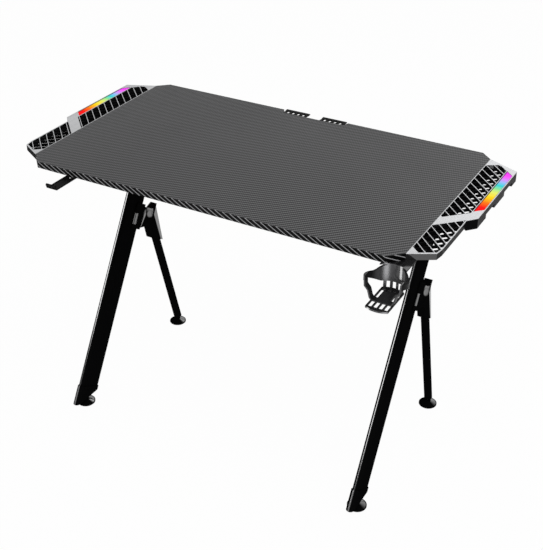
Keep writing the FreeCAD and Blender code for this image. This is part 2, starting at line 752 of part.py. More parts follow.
def wing_body():
    pieces = [prism(wing_outline(), UNDERSIDE, FACEPLATE_BOTTOM)] + skirt_blocks()
    tab_low = UNDERSIDE - WING_TAB_THICKNESS
    tab_left = HALF_LENGTH - WING_TAB_LENGTH
    tab_right = HALF_LENGTH + WING_TAB_OVERLAP
    for y in wing_tab_places():
        front = y - WING_TAB_WIDTH / 2
        pieces.append(block(tab_left, tab_right, front, front + WING_TAB_WIDTH, tab_low, UNDERSIDE))
    shelf = UNDERSIDE + GRILLE_SHELF_THICKNESS
    holes = [prism(field, UNDERSIDE, shelf) for field in open_fields()]
    holes += [prism(region, shelf, GRILLE_BOTTOM) for region in grille_regions()]
    holes += [prism(cell, GRILLE_BOTTOM, FACEPLATE_BOTTOM) for cell in grille_cells()]
    holes.append(prism(window_outline(0.0), WINDOW_BOTTOM, FACEPLATE_BOTTOM))
    holes.append(prism(window_outline(WINDOW_LEDGE), CHANNEL_BOTTOM, WINDOW_BOTTOM))
    holes.append(connector_neck(PART_GAP))
    holes += [screw_hole(seat, UP, SCREW_DEPTH) for seat in wing_seats(1)]
    return without(joined(pieces), holes)


def wing_faceplate(lean):
    """Silver plate whose strands lie on one family of the body's strands."""
    holes = [prism(slit, FACEPLATE_BOTTOM, TOP_HEIGHT) for slit in grille_slits(lean)]
    holes.append(prism(window_outline(0.0), FACEPLATE_BOTTOM, TOP_HEIGHT))
    return without(prism(wing_outline(), FACEPLATE_BOTTOM, TOP_HEIGHT), holes)


def light_window():
    return prism(window_outline(WINDOW_CLEARANCE), WINDOW_BOTTOM, WINDOW_TOP)


def light_strip():
    """Circuit strip with its row of chips on top and the connector below the channel floor."""
    middle = (WINDOW_INNER + WINDOW_OUTER) / 2
    front = WINDOW_FRONT + WINDOW_WIDTH + STRIP_END_GAP
    back = WINDOW_BACK - WINDOW_WIDTH - STRIP_END_GAP
    strip_top = CHANNEL_BOTTOM + STRIP_THICKNESS
    edge = STRIP_WIDTH / 2
    pieces = [block(middle - edge, middle + edge, front, back, CHANNEL_BOTTOM, strip_top)]
    pitch = (back - front) / CHIP_COUNT
    for chip in range(CHIP_COUNT):
        y = front + (chip + 0.5) * pitch
        half = CHIP_SIZE / 2
        chip_top = strip_top + CHIP_HEIGHT
        pieces.append(block(middle - half, middle + half, y - half, y + half, strip_top, chip_top))
    wide, long, tall = CONNECTOR_SIZE
    plug = block(CONNECTOR_X - wide / 2, CONNECTOR_X + wide / 2, CONNECTOR_FRONT, CONNECTOR_FRONT + long,
                 UNDERSIDE - tall, UNDERSIDE)
    pieces.append(joined([plug, connector_neck(0.0)]))
    return Part.makeCompound(pieces)


def lead_corners(side):
    """Corner places of a lead, from the controller to the wing's connector."""
    start = CONTROLLER_X + side * (CONTROLLER_SIZE[0] / 2 - LEAD_ENTRY)
    rise = CONNECTOR_X - HALF_LENGTH
    return [
        Vector(start, LEAD_Y, LEAD_Z),
        Vector(side * HALF_LENGTH, LEAD_Y, LEAD_Z),
        Vector(side * CONNECTOR_X, LEAD_Y + rise, LEAD_Z),
        Vector(side * CONNECTOR_X, CONNECTOR_FRONT, LEAD_Z),
    ]


def light_lead(side):
    """Round lead of straight runs joined by tangent bends."""
    corners = lead_corners(side)
    edges = []
    last = corners[0]
    for index in range(1, len(corners) - 1):
        here = corners[index]
        back = (corners[index - 1] - here).normalize()
        on = (corners[index + 1] - here).normalize()
        half_turn = (math.pi - back.getAngle(on)) / 2
        reach = LEAD_BEND * math.tan(half_turn)
        inward = (back + on).normalize()
        bend_middle = here + inward * (LEAD_BEND / math.cos(half_turn) - LEAD_BEND)
        edges.append(Part.makeLine(last, here + back * reach))
        edges.append(Part.Arc(here + back * reach, bend_middle, here + on * reach).toShape())
        last = here + on * reach
    edges.append(Part.makeLine(last, corners[-1]))
    ring = Part.Wire(Part.makeCircle(LEAD_DIAMETER / 2, corners[0], Vector(side, 0, 0)))
    return Part.Wire(edges).makePipeShell([ring], True, False)


def lead_bore(left, right, radius):
    return rod(Vector(left, LEAD_Y, LEAD_Z), ACROSS, radius, right - left)


def clip_places():
    """Clips spread evenly over the lead's two runs, from rail to controller and on to the other rail."""
    rail = RAIL_X - RAIL_HALF
    runs = ((-rail, CONTROLLER_X - CONTROLLER_REACH), (CONTROLLER_X + CONTROLLER_REACH, rail))
    places = []
    for (left, right), count in zip(runs, CLIP_COUNTS):
        pitch = (right - left) / count
        places += [left + (clip + 0.5) * pitch for clip in range(count)]
    return places


def lead_clips():
    low = LEAD_Z - LEAD_DIAMETER / 2 - CLIP_FLOOR
    half = CLIP_LENGTH / 2
    front = LEAD_Y - CLIP_WIDTH / 2
    clips = []
    for x in clip_places():
        body = block(x - half, x + half, front, front + CLIP_WIDTH, low, UNDERSIDE)
        clips.append(body.cut(lead_bore(x - half, x + half, LEAD_DIAMETER / 2 + CLIP_BORE_GAP)))
    return Part.makeCompound(clips)


def controller_posts(radius, low, high):
    reach_x = CONTROLLER_SIZE[0] / 2 - CONTROLLER_WALL - CIRCUIT_GAP - POST_INSET
    reach_y = CONTROLLER_SIZE[1] / 2 - CONTROLLER_WALL - CIRCUIT_GAP - POST_INSET
    posts = []
    for side_x in (-1, 1):
        for side_y in (-1, 1):
            foot = Vector(CONTROLLER_X + side_x * reach_x, LEAD_Y + side_y * reach_y, low)
            posts.append(rod(foot, UP, radius, high - low))
    return posts


def button_centre(height):
    return Vector(CONTROLLER_X + BUTTON_OFFSET, LEAD_Y, height)


def socket_block(gap):
    wide, deep, tall = SOCKET_SIZE
    middle = CONTROLLER_X + SOCKET_OFFSET
    face = LEAD_Y + CONTROLLER_SIZE[1] / 2
    low = CIRCUIT_LOW + CIRCUIT_THICKNESS
    half = wide / 2 + gap
    return block(middle - half, middle + half, face - deep, face, low - gap, low + tall + gap)


def power_socket():
    face = LEAD_Y + CONTROLLER_SIZE[1] / 2
    height = CIRCUIT_LOW + CIRCUIT_THICKNESS + SOCKET_SIZE[2] / 2
    middle = Vector(CONTROLLER_X + SOCKET_OFFSET, face, height)
    inward = Vector(0, -1, 0)
    hollow = rod(middle, inward, SOCKET_RADIUS, SOCKET_DEPTH)
    pin = rod(middle, inward, SOCKET_PIN_RADIUS, SOCKET_DEPTH)
    return socket_block(0.0).cut(hollow.cut(pin))


def controller_case():
    long, wide, tall = CONTROLLER_SIZE
    left = CONTROLLER_X - long / 2
    right = CONTROLLER_X + long / 2
    front = LEAD_Y - wide / 2
    back = LEAD_Y + wide / 2
    wall = CONTROLLER_WALL
    floor = CONTROLLER_LOW + wall
    shell = block(left, right, front, back, CONTROLLER_LOW, UNDERSIDE)
    ears = block(CONTROLLER_X - CONTROLLER_REACH, CONTROLLER_X + CONTROLLER_REACH, front, back,
                 UNDERSIDE - CONTROLLER_EAR_THICKNESS, UNDERSIDE)
    inside = block(left + wall, right - wall, front + wall, back - wall, floor, UNDERSIDE)
    case = joined([shell, ears]).cut(inside)
    pin_top = CIRCUIT_LOW + 2 * CIRCUIT_THICKNESS
    posts = controller_posts(POST_RADIUS, floor, CIRCUIT_LOW)
    posts += controller_posts(POST_PIN_RADIUS, floor, pin_top)
    holes = [
        rod(button_centre(CONTROLLER_LOW), UP, BUTTON_HOLE_RADIUS, wall),
        socket_block(PART_GAP),
        lead_bore(left, left + wall, LEAD_DIAMETER / 2 + PART_GAP),
        lead_bore(right - wall, right, LEAD_DIAMETER / 2 + PART_GAP),
    ]
    holes += [screw_hole(seat, UP, SCREW_DEPTH) for seat in controller_seats()]
    return without(joined([case] + posts), holes)


def controller_board():
    """Circuit board on the case's posts, with the switch above the button."""
    inset = CONTROLLER_WALL + CIRCUIT_GAP
    half_long = CONTROLLER_SIZE[0] / 2 - inset
    half_wide = CONTROLLER_SIZE[1] / 2 - inset
    top = CIRCUIT_LOW + CIRCUIT_THICKNESS
    board = block(CONTROLLER_X - half_long, CONTROLLER_X + half_long, LEAD_Y - half_wide, LEAD_Y + half_wide,
                  CIRCUIT_LOW, top)
    switch_low = CONTROLLER_LOW + CONTROLLER_WALL + BUTTON_FLANGE + BUTTON_TRAVEL + BUTTON_GAP
    middle = button_centre(switch_low)
    half = SWITCH_SIZE / 2
    switch = block(middle.x - half, middle.x + half, middle.y - half, middle.y + half,
                   switch_low, CIRCUIT_LOW)
    board = without(board, controller_posts(POST_PIN_RADIUS + FASTENER_GAP, CIRCUIT_LOW, top))
    return joined([board, switch])


def mode_button():
    floor = CONTROLLER_LOW + CONTROLLER_WALL
    low = CONTROLLER_LOW - BUTTON_PROUD
    stem = rod(button_centre(low), UP, BUTTON_RADIUS, floor - low)
    flange = rod(button_centre(floor), UP, BUTTON_FLANGE_RADIUS, BUTTON_FLANGE)
    return joined([stem, flange])


def leg_bolt_places():
    return [(LEG_TOP_Y + side * LEG_BOLT_SPACING / 2, LEG_BOLT_Z) for side in (-1, 1)]


def leg_bolt_holes(reach):
    start = -reach
    radius = LEG_BOLT_RADIUS + FASTENER_GAP
    return [rod(Vector(start, y, z), ACROSS, radius, 2 * reach) for y, z in leg_bolt_places()]


def beam_bolt_places():
    return [y + side * BEAM_BOLT_SPACING / 2 for y in BEAM_PLACES for side in (-1, 1)]


def side_rail(side):
    """Inverted channel screwed under the board, drilled for the beams, the leg and the lead."""
    outer = block(-RAIL_HALF, RAIL_HALF, RAIL_FRONT, RAIL_BACK, RAIL_LOW, UNDERSIDE)
    inner = block(-RAIL_INNER_HALF, RAIL_INNER_HALF, RAIL_FRONT, RAIL_BACK, RAIL_LOW, UNDERSIDE - RAIL_WALL)
    holes = [inner, lead_bore(-RAIL_HALF, RAIL_HALF, LEAD_PASS_DIAMETER / 2)] + leg_bolt_holes(RAIL_HALF)
    for y in beam_bolt_places():
        start = Vector(0, y, BEAM_Z)
        holes.append(rod(start, Vector(-side, 0, 0), BOLT_RADIUS + FASTENER_GAP, RAIL_HALF))
    for y in rail_screw_places():
        holes.append(screw_hole(Vector(0, y, UNDERSIDE - RAIL_WALL), UP, RAIL_WALL))
    return without(outer, holes).translated(Vector(side * RAIL_X, 0, 0))


def beam(y):
    """Cross tube with a bolted plate at each end."""
    end = RAIL_X - RAIL_HALF
    low = BEAM_Z - BEAM_HEIGHT / 2
    high = BEAM_Z + BEAM_HEIGHT / 2
    wall = BEAM_WALL
    front = y - BEAM_DEPTH / 2
    back = y + BEAM_DEPTH / 2
    plate_end = end - BEAM_PLATE
    tube = block(-plate_end, plate_end, front, back, low, high)
    tube = tube.cut(block(-plate_end, plate_end, front + wall, back - wall, low + wall, high - wall))
    half = BEAM_PLATE_LENGTH / 2
    spans = ((plate_end, end), (-end, -plate_end))
    plates = [block(left, right, y - half, y + half, low, high) for left, right in spans]
    holes = []
    for offset in (-BEAM_BOLT_SPACING / 2, BEAM_BOLT_SPACING / 2):
        holes.append(rod(Vector(-end, y + offset, BEAM_Z), ACROSS, BOLT_RADIUS + FASTENER_GAP, 2 * end))
    return without(joined([tube] + plates), holes)


def beam_bolts():
    seat = RAIL_X - RAIL_HALF - BEAM_PLATE
    bolts = []
    for side, name in SIDES:
        for y in beam_bolt_places():
            start = Vector(side * seat, y, BEAM_Z)
            grip = BEAM_PLATE + RAIL_WALL
            bolts.append(nut_bolt(start, Vector(side, 0, 0), BOLT_RADIUS, BOLT_HEAD_RADIUS, grip))
    return Part.makeCompound(bolts)


def leg_bolts():
    bolts = []
    for side, name in SIDES:
        for y, z in leg_bolt_places():
            start = Vector(side * RAIL_X - RAIL_HALF, y, z)
            bolts.append(nut_bolt(start, ACROSS, LEG_BOLT_RADIUS, LEG_BOLT_HEAD_RADIUS, 2 * RAIL_HALF))
    return Part.makeCompound(bolts)


def saddle_screw_places():
    offsets = (-SADDLE_SCREW_SPACING / 2, SADDLE_SCREW_SPACING / 2)
    return [front_leg_point(SADDLE_CENTRE, along, SADDLE_SCREW_BEHIND) for along in offsets]


def housing_screw_places():
    heights = [SADDLE_CENTRE - drop for drop in HOUSING_SCREW_DROPS]
    return [(rear_axis(height), height) for height in heights]


def bracket_screws():
    """Short screws through the bracket's left cheek and housing wall into the tubes."""
    seats = [(-saddle_half_width(), y, z) for y, z in saddle_screw_places()]
    seats += [(-BRACKET_WIDTH / 2, y, z) for y, z in housing_screw_places()]
    screws = []
    for side, name in SIDES:
        places = [Vector(side * RAIL_X + x, y, z) for x, y, z in seats]
        screws += [screw(place, ACROSS, BRACKET_SCREW_LENGTH) for place in places]
    return Part.makeCompound(screws)


def bracket_screw_holes():
    reach = saddle_half_width()
    places = saddle_screw_places() + housing_screw_places()
    return [rod(Vector(-reach, y, z), ACROSS, SCREW_RADIUS + FASTENER_GAP, reach) for y, z in places]


def front_leg():
    """Slanted tube cut level with the floor below and with the board above."""
    long = 2 * TOP_HEIGHT
    tube = rounded_bar(LEG_WIDTH, LEG_DEPTH, LEG_CORNER, -long, long)
    thin = 2 * LEG_WALL
    hollow = rounded_bar(LEG_WIDTH - thin, LEG_DEPTH - thin, LEG_CORNER - LEG_WALL, -long, long)
    leg = on_front_leg(tube.cut(hollow), FRONT_TUBE_END)
    top = UNDERSIDE - RAIL_WALL - TUBE_CLEARANCE
    leg = leg.common(block(-LEG_WIDTH, LEG_WIDTH, -long, long, FRONT_TUBE_END, top))
    return without(leg, leg_bolt_holes(LEG_WIDTH) + bracket_screw_holes())


def rear_leg():
    long = (REAR_TUBE_TOP - REAR_TUBE_END) / math.cos(math.radians(REAR_LEAN))
    tube = rounded_bar(REAR_WIDTH, REAR_DEPTH, REAR_CORNER, 0, long)
    thin = 2 * REAR_WALL
    hollow = rounded_bar(REAR_WIDTH - thin, REAR_DEPTH - thin, REAR_CORNER - REAR_WALL, 0, long)
    leg = on_rear_leg(tube.cut(hollow), REAR_TUBE_END)
    return without(leg, bracket_screw_holes())


def foot_hole(y, radius):
    return rod(Vector(0, y, CAP_BOTTOM), UP, radius, INSERT_LENGTH)


def front_foot_cap():
    """Plastic boot on the end of the front leg, with a plug inside the tube for the foot's insert."""
    grow = 2 * (TUBE_CLEARANCE + CAP_WALL)
    fit = 2 * TUBE_CLEARANCE
    thin = 2 * (LEG_WALL + TUBE_CLEARANCE)
    long = 2 * LEG_DEPTH
    top = (CAP_TOP - FRONT_TUBE_END) / math.cos(math.radians(FRONT_LEAN))
    outer = rounded_bar(LEG_WIDTH + grow, LEG_DEPTH + grow, LEG_CORNER + grow / 2, -long, top)
    pocket = rounded_bar(LEG_WIDTH + fit, LEG_DEPTH + fit, LEG_CORNER + fit / 2, -long, long)
    plug = rounded_bar(LEG_WIDTH - thin, LEG_DEPTH - thin, LEG_CORNER - thin / 2, -long, long)
    front = FRONT_FOOT_Y - long
    back = FRONT_FOOT_Y + long
    boot = on_front_leg(outer, FRONT_TUBE_END)
    boot = boot.common(block(-long, long, front, back, CAP_BOTTOM, CAP_BOTTOM + long))
    room = on_front_leg(pocket.cut(plug), FRONT_TUBE_END)
    room = room.common(block(-long, long, front, back, FRONT_TUBE_END, FRONT_TUBE_END + long))
    return without(boot, [room, foot_hole(FRONT_FOOT_Y, INSERT_RADIUS)])


def foot_insert():
    outer = foot_hole(FRONT_FOOT_Y, INSERT_RADIUS)
    return outer.cut(foot_hole(FRONT_FOOT_Y, STUD_RADIUS + STUD_BORE_GAP))


def rear_foot_shoe():
    """Solid end of the rear leg with a spigot inside the tube."""
    inner = 2 * (REAR_WALL + SHOE_SPIGOT_GAP)
    body = rounded_bar(REAR_WIDTH, REAR_DEPTH, REAR_CORNER, -2 * CAP_BOTTOM, 0)
    corner = REAR_CORNER - inner / 2
    spigot = rounded_bar(REAR_WIDTH - inner, REAR_DEPTH - inner, corner, -CAP_BOTTOM, SHOE_SPIGOT)
    shoe = on_rear_leg(joined([body, spigot]), REAR_TUBE_END)
    below = block(-LEG_DEPTH, LEG_DEPTH, 0, 2 * BACK_EDGE, -LEG_DEPTH, CAP_BOTTOM)
    return without(shoe, [below, foot_hole(REAR_FOOT_Y, STUD_RADIUS + STUD_BORE_GAP)])


def foot_pad(y):
    """Turned foot: flat disc with a low dome and a neck, hollowed for the stud."""
    profile = [
        (0, 0),
        (PAD_RADIUS - PAD_EDGE_ROUND, 0),
        (PAD_RADIUS, PAD_EDGE_ROUND),
        (PAD_RADIUS, PAD_RIM),
        (PAD_DOME_RADIUS, PAD_RIM),
        (PAD_NECK_RADIUS, PAD_DOME_TOP),
        (PAD_NECK_RADIUS, PAD_HEIGHT),
        (0, PAD_HEIGHT),
    ]
    corners = [Vector(x, 0, z) for x, z in profile]
    face = Part.Face(Part.makePolygon(corners + corners[:1]))
    pad = face.revolve(Vector(0, 0, 0), UP, 360)
    bottom = PAD_HEIGHT - PAD_STUD_DEPTH
    pad = pad.cut(rod(Vector(0, 0, bottom), UP, STUD_RADIUS + STUD_BORE_GAP, PAD_STUD_DEPTH))
    return pad.translated(Vector(0, y, 0))


def foot_stud(y):
    bottom = PAD_HEIGHT - PAD_STUD_DEPTH
    return rod(Vector(0, y, bottom), UP, STUD_RADIUS, STUD_TOP - bottom)


def saddle_half_width():
    return LEG_WIDTH / 2 + TUBE_CLEARANCE + SADDLE_CHEEK


def saddle():
    """Three sided clasp round the back of the front leg, each cheek hollowed along its front."""
    half = saddle_half_width()
    front = LEG_DEPTH / 2 - SADDLE_GRIP
    back = LEG_DEPTH / 2 + TUBE_CLEARANCE + SADDLE_BACK
    bevel = SADDLE_BEVEL
    outline = [
        (-half + bevel, front),
        (half - bevel, front),
        (half, front + bevel),
        (half, back),
        (-half, back),
        (-half, front + bevel),
    ]
    clasp = prism(outline, -SADDLE_LENGTH / 2, SADDLE_LENGTH / 2)
    reach = half + SADDLE_HOLLOW_RADIUS - SADDLE_HOLLOW_DEPTH
    feet = [Vector(side * reach, SADDLE_HOLLOW_BEHIND, -SADDLE_HOLLOW_DROP) for side in (-1, 1)]
    hollows = [rod(foot, UP, SADDLE_HOLLOW_RADIUS, SADDLE_HOLLOW_LENGTH) for foot in feet]
    return on_front_leg(without(clasp, hollows), SADDLE_CENTRE)


def bracket_point(behind, above):
    height = SADDLE_CENTRE + above
    return rear_axis(height) + behind, height


def housing_bevels():
    """Wedges cut from both back edges of the housing, up to a slant below its top corner."""
    half = BRACKET_WIDTH / 2
    first, top = HOUSING_BEVEL_CORNER
    corner, corner_top = HOUSING_OUTLINE[4]
    last = corner + LEG_DEPTH
    bottom = HOUSING_OUTLINE[3][1] - LEG_DEPTH
    places = [(first, bottom), (last, bottom), (last, corner_top), (corner, corner_top), (first, top)]
    limit = side_prism([bracket_point(*place) for place in places], 0, BRACKET_WIDTH)
    inward = (last - first) * math.tan(math.radians(HOUSING_BEVEL_ANGLE))
    low = Vector(0, *bracket_point(0, bottom))
    high = Vector(0, *bracket_point(0, 0))
    section = [(half, first), (half - inward, last), (BRACKET_WIDTH, last), (BRACKET_WIDTH, first)]
    corners = [low + Vector(x, y, 0) for x, y in section]
    wedge = Part.Face(Part.makePolygon(corners + corners[:1])).extrude(high - low).common(limit)
    return [wedge, mirrored(wedge)]


def leaf_scoops():
    """Hollows in both sides of the web, round at the top and running out to a point below."""
    half = BRACKET_WIDTH / 2
    tip = Vector(half, *bracket_point(*LEAF_TIP))
    middle = Vector(half + LEAF_RADIUS - LEAF_SINK, *bracket_point(*LEAF_CENTRE))
    axis = middle - tip
    turn = math.asin(LEAF_RADIUS / axis.Length)
    touch = axis.Length * math.cos(turn) ** 2
    cone = Part.makeCone(0, LEAF_RADIUS * math.cos(turn), touch, tip, axis)
    scoop = joined([cone, Part.makeSphere(LEAF_RADIUS, middle)])
    return [scoop, mirrored(scoop)]


def leg_bracket():
    """Saddle on the front leg, web, and housing that takes the top of the rear tube."""
    wall = LEG_DEPTH / 2 + TUBE_CLEARANCE + SADDLE_BACK / 2
    outline = [front_leg_point(SADDLE_CENTRE, -WEB_BOTTOM_ALONG, wall)]
    outline += [bracket_point(behind, above) for behind, above in HOUSING_OUTLINE]
    outline.append(front_leg_point(SADDLE_CENTRE, WEB_TOP_ALONG, wall))
    web = side_prism(outline, -BRACKET_WIDTH / 2, BRACKET_WIDTH / 2)
    web = without(web, housing_bevels() + leaf_scoops())
    fit = 2 * TUBE_CLEARANCE
    long = SADDLE_LENGTH
    leg_room = rounded_bar(LEG_WIDTH + fit, LEG_DEPTH + fit, LEG_CORNER + fit / 2, -long, long)
    tube_room = rounded_bar(REAR_WIDTH + fit, REAR_DEPTH + fit, REAR_CORNER + fit / 2, -REAR_TUBE_TOP, 0)
    holes = [on_front_leg(leg_room, SADDLE_CENTRE), on_rear_leg(tube_room, REAR_TUBE_TOP)]
    return without(joined([saddle(), web]), holes + bracket_screw_holes())


def headphone_hook():
    """Strap under the front edge with an upturned rolled end, a shallow groove and a hole."""
    back = FRONT_EDGE + HOOK_ROOT
    low = UNDERSIDE - HOOK_THICKNESS
    inner_bend = HOOK_BEND - HOOK_THICKNESS
    bend_y = HOOK_END + HOOK_BEND
    bend_z = low + HOOK_BEND
    top = bend_z + HOOK_LIP
    slant = math.sqrt(0.5)
    left = HOOK_X - HOOK_WIDTH / 2

    def place(y, z):
        return Vector(left, y, z)

    inner_y = HOOK_END + HOOK_THICKNESS
    outer_mid = place(bend_y - HOOK_BEND * slant, bend_z - HOOK_BEND * slant)
    inner_mid = place(bend_y - inner_bend * slant, bend_z - inner_bend * slant)
    edges = [
        Part.makeLine(place(back, low), place(bend_y, low)),
        Part.Arc(place(bend_y, low), outer_mid, place(HOOK_END, bend_z)).toShape(),
        Part.makeLine(place(HOOK_END, bend_z), place(HOOK_END, top)),
        Part.makeLine(place(HOOK_END, top), place(inner_y, top)),
        Part.makeLine(place(inner_y, top), place(inner_y, bend_z)),
        Part.Arc(place(inner_y, bend_z), inner_mid, place(bend_y, UNDERSIDE)).toShape(),
        Part.makeLine(place(bend_y, UNDERSIDE), place(back, UNDERSIDE)),
        Part.makeLine(place(back, UNDERSIDE), place(back, low)),
    ]
    strap = Part.Face(Part.Wire(edges)).extrude(Vector(HOOK_WIDTH, 0, 0))
    roll = rod(place(HOOK_END + HOOK_THICKNESS / 2, top), ACROSS, HOOK_ROLL_RADIUS, HOOK_WIDTH)
    rim = HOOK_EDGE_RIM
    hole_y = FRONT_EDGE - HOOK_HOLE_GAP
    groove = block(left + rim, left + HOOK_WIDTH - rim, bend_y, hole_y + HOOK_HOLE_RADIUS,
                   UNDERSIDE - HOOK_GROOVE, UNDERSIDE)
    holes = [groove, rod(Vector(HOOK_X, hole_y, low), UP, HOOK_HOLE_RADIUS, HOOK_THICKNESS)]
    holes += [screw_hole(seat, UP, SCREW_DEPTH) for seat in hook_seats()]
    return without(joined([strap, roll]), holes)


def cup_band():
    """Ring that grips the cup: tall at the back, open towards the front."""
    back = CUP_RADIUS + CUP_WALL
    outline = [
        (back, 0),
        (CUP_RADIUS - CUP_WALL, 0),
        (CUP_RADIUS - 2 * CUP_WALL, -CUP_SHOULDER_DROP),
        (CUP_WAIST_BEHIND + 2 * CUP_WALL, CUP_WAIST_RISE - CUP_WAIST_DROP),
        (CUP_WAIST_BEHIND, -CUP_WAIST_DROP),
        (0, -(CUP_WAIST_DROP + CUP_TIP_TOP) / 2),
        (-CUP_TIP_FORWARD, -CUP_TIP_TOP),
        (-CUP_TIP_FORWARD, -CUP_TIP_TOP - CUP_TIP_HEIGHT),
        (0, -CUP_WAIST_DROP - CUP_TIP_HEIGHT / 2),
        (CUP_WAIST_BEHIND, -CUP_WAIST_DROP - CUP_WAIST_HEIGHT),
        (CUP_BACK_BEHIND, -CUP_BACK_HEIGHT),
        (back, -CUP_BACK_HEIGHT),
    ]
    places = [(CUP_Y + y, UNDERSIDE + z) for y, z in outline]
    return side_prism(places, CUP_X - back, CUP_X + back)


def cup_tube(low, high):
    middle = Vector(CUP_X, CUP_Y, low)
    outer = rod(middle, UP, CUP_RADIUS, high - low)
    return outer.cut(rod(middle, UP, CUP_RADIUS - CUP_WALL, high - low))


def cup_base():
    """Slatted floor with a rounded front, cut to the ring's circle at the back."""
    half = CUP_BASE_WIDTH / 2
    low = CUP_FLOOR
    high = CUP_FLOOR + CUP_BASE_THICKNESS
    front = FOOTPRINT_FRONT + CUP_BASE_BULGE
    corners = [
        Vector(CUP_X - half, front, low),
        Vector(CUP_X, FOOTPRINT_FRONT, low),
        Vector(CUP_X + half, front, low),
        Vector(CUP_X + half, CUP_Y, low),
        Vector(CUP_X - half, CUP_Y, low),
    ]
    edges = [Part.Arc(*corners[:3]).toShape()]
    edges += [Part.makeLine(corners[2], corners[3]), Part.makeLine(corners[3], corners[4])]
    edges.append(Part.makeLine(corners[4], corners[0]))
    floor = Part.Face(Part.Wire(edges)).extrude(Vector(0, 0, CUP_BASE_THICKNESS))
    rear = block(CUP_X - half, CUP_X + half, CUP_Y, CUP_Y + CUP_RADIUS, low, high)
    rear = rear.common(rod(Vector(CUP_X, CUP_Y, low), UP, CUP_RADIUS, CUP_BASE_THICKNESS))
    slot = (CUP_BASE_WIDTH - CUP_BARS * CUP_BAR_WIDTH) / (CUP_BARS - 1)
    slot_front = front + CUP_BASE_LIP
    slot_back = CUP_Y + math.sqrt(CUP_RADIUS ** 2 - half ** 2) - CUP_BASE_HEEL
    slots = []
    for gap in range(CUP_BARS - 1):
        left = CUP_X - half + CUP_BAR_WIDTH + gap * (slot + CUP_BAR_WIDTH)
        slots.append(block(left, left + slot, slot_front, slot_back, low, high))
    pad_left = CUP_X - CUP_PAD_WIDTH / 2
    pad_front = CUP_Y - CUP_TIP_FORWARD
    pad = block(pad_left, pad_left + CUP_PAD_WIDTH, pad_front, pad_front + CUP_PAD_DEPTH,
                high, high + CUP_HOOP_THICKNESS)
    return joined([without(joined([floor, rear]), slots), pad])


def cup_ribs():
    """Upright ribs that tie the back of the ring to the floor."""
    tube = cup_tube(CUP_FLOOR, UNDERSIDE - CUP_BACK_HEIGHT / 2)
    first = CUP_X - (CUP_RIBS - 1) * CUP_RIB_PITCH / 2
    ribs = []
    for rib in range(CUP_RIBS):
        middle = first + rib * CUP_RIB_PITCH
        half = CUP_RIB_WIDTH / 2
        cut = block(middle - half, middle + half, CUP_Y, CUP_Y + CUP_RADIUS, CUP_FLOOR, UNDERSIDE)
        ribs.append(tube.common(cut))
    return ribs


def cup_hoop():
    """Bent strap from one tip of the ring down to the floor and up to the other tip."""
    front = CUP_Y - CUP_TIP_FORWARD
    wide = CUP_HOOP_THICKNESS
    tip = math.sqrt(CUP_RADIUS ** 2 - CUP_TIP_FORWARD ** 2)
    seat = CUP_DEPTH - CUP_BASE_THICKNESS
    outer = [(tip, CUP_TIP_TOP)] + list(CUP_HOOP_BENDS) + [(CUP_HOOP_FOOT, seat)]
    inner = [(tip - wide, CUP_TIP_TOP)] + [(x - wide, drop - wide / 2) for x, drop in CUP_HOOP_BENDS]
    inner.append((CUP_HOOP_FOOT - wide / 2, seat - wide))
    right = outer[::-1] + inner
    left = [(-x, drop) for x, drop in reversed(right)]
    places = [(CUP_X + x, UNDERSIDE - drop) for x, drop in right + left]
    return end_prism(places, front, front + CUP_HOOP_WIDTH)


def cup_holder():
    flange_front = FRONT_EDGE - CUP_FLANGE_FRONT
    half = CUP_FLANGE_WIDTH / 2
    flange = block(CUP_X - half, CUP_X + half, flange_front, FRONT_EDGE + CUP_FLANGE_LENGTH,
                   UNDERSIDE - CUP_FLANGE_THICKNESS, UNDERSIDE)
    room = rod(Vector(CUP_X, CUP_Y, CUP_FLOOR), UP, CUP_RADIUS - CUP_WALL, CUP_DEPTH)
    ring = cup_tube(CUP_FLOOR, UNDERSIDE).common(cup_band())
    holder = joined([ring, flange.cut(room), cup_base(), cup_hoop()] + cup_ribs())
    return without(holder, [screw_hole(seat, UP, SCREW_DEPTH) for seat in cup_seats()])


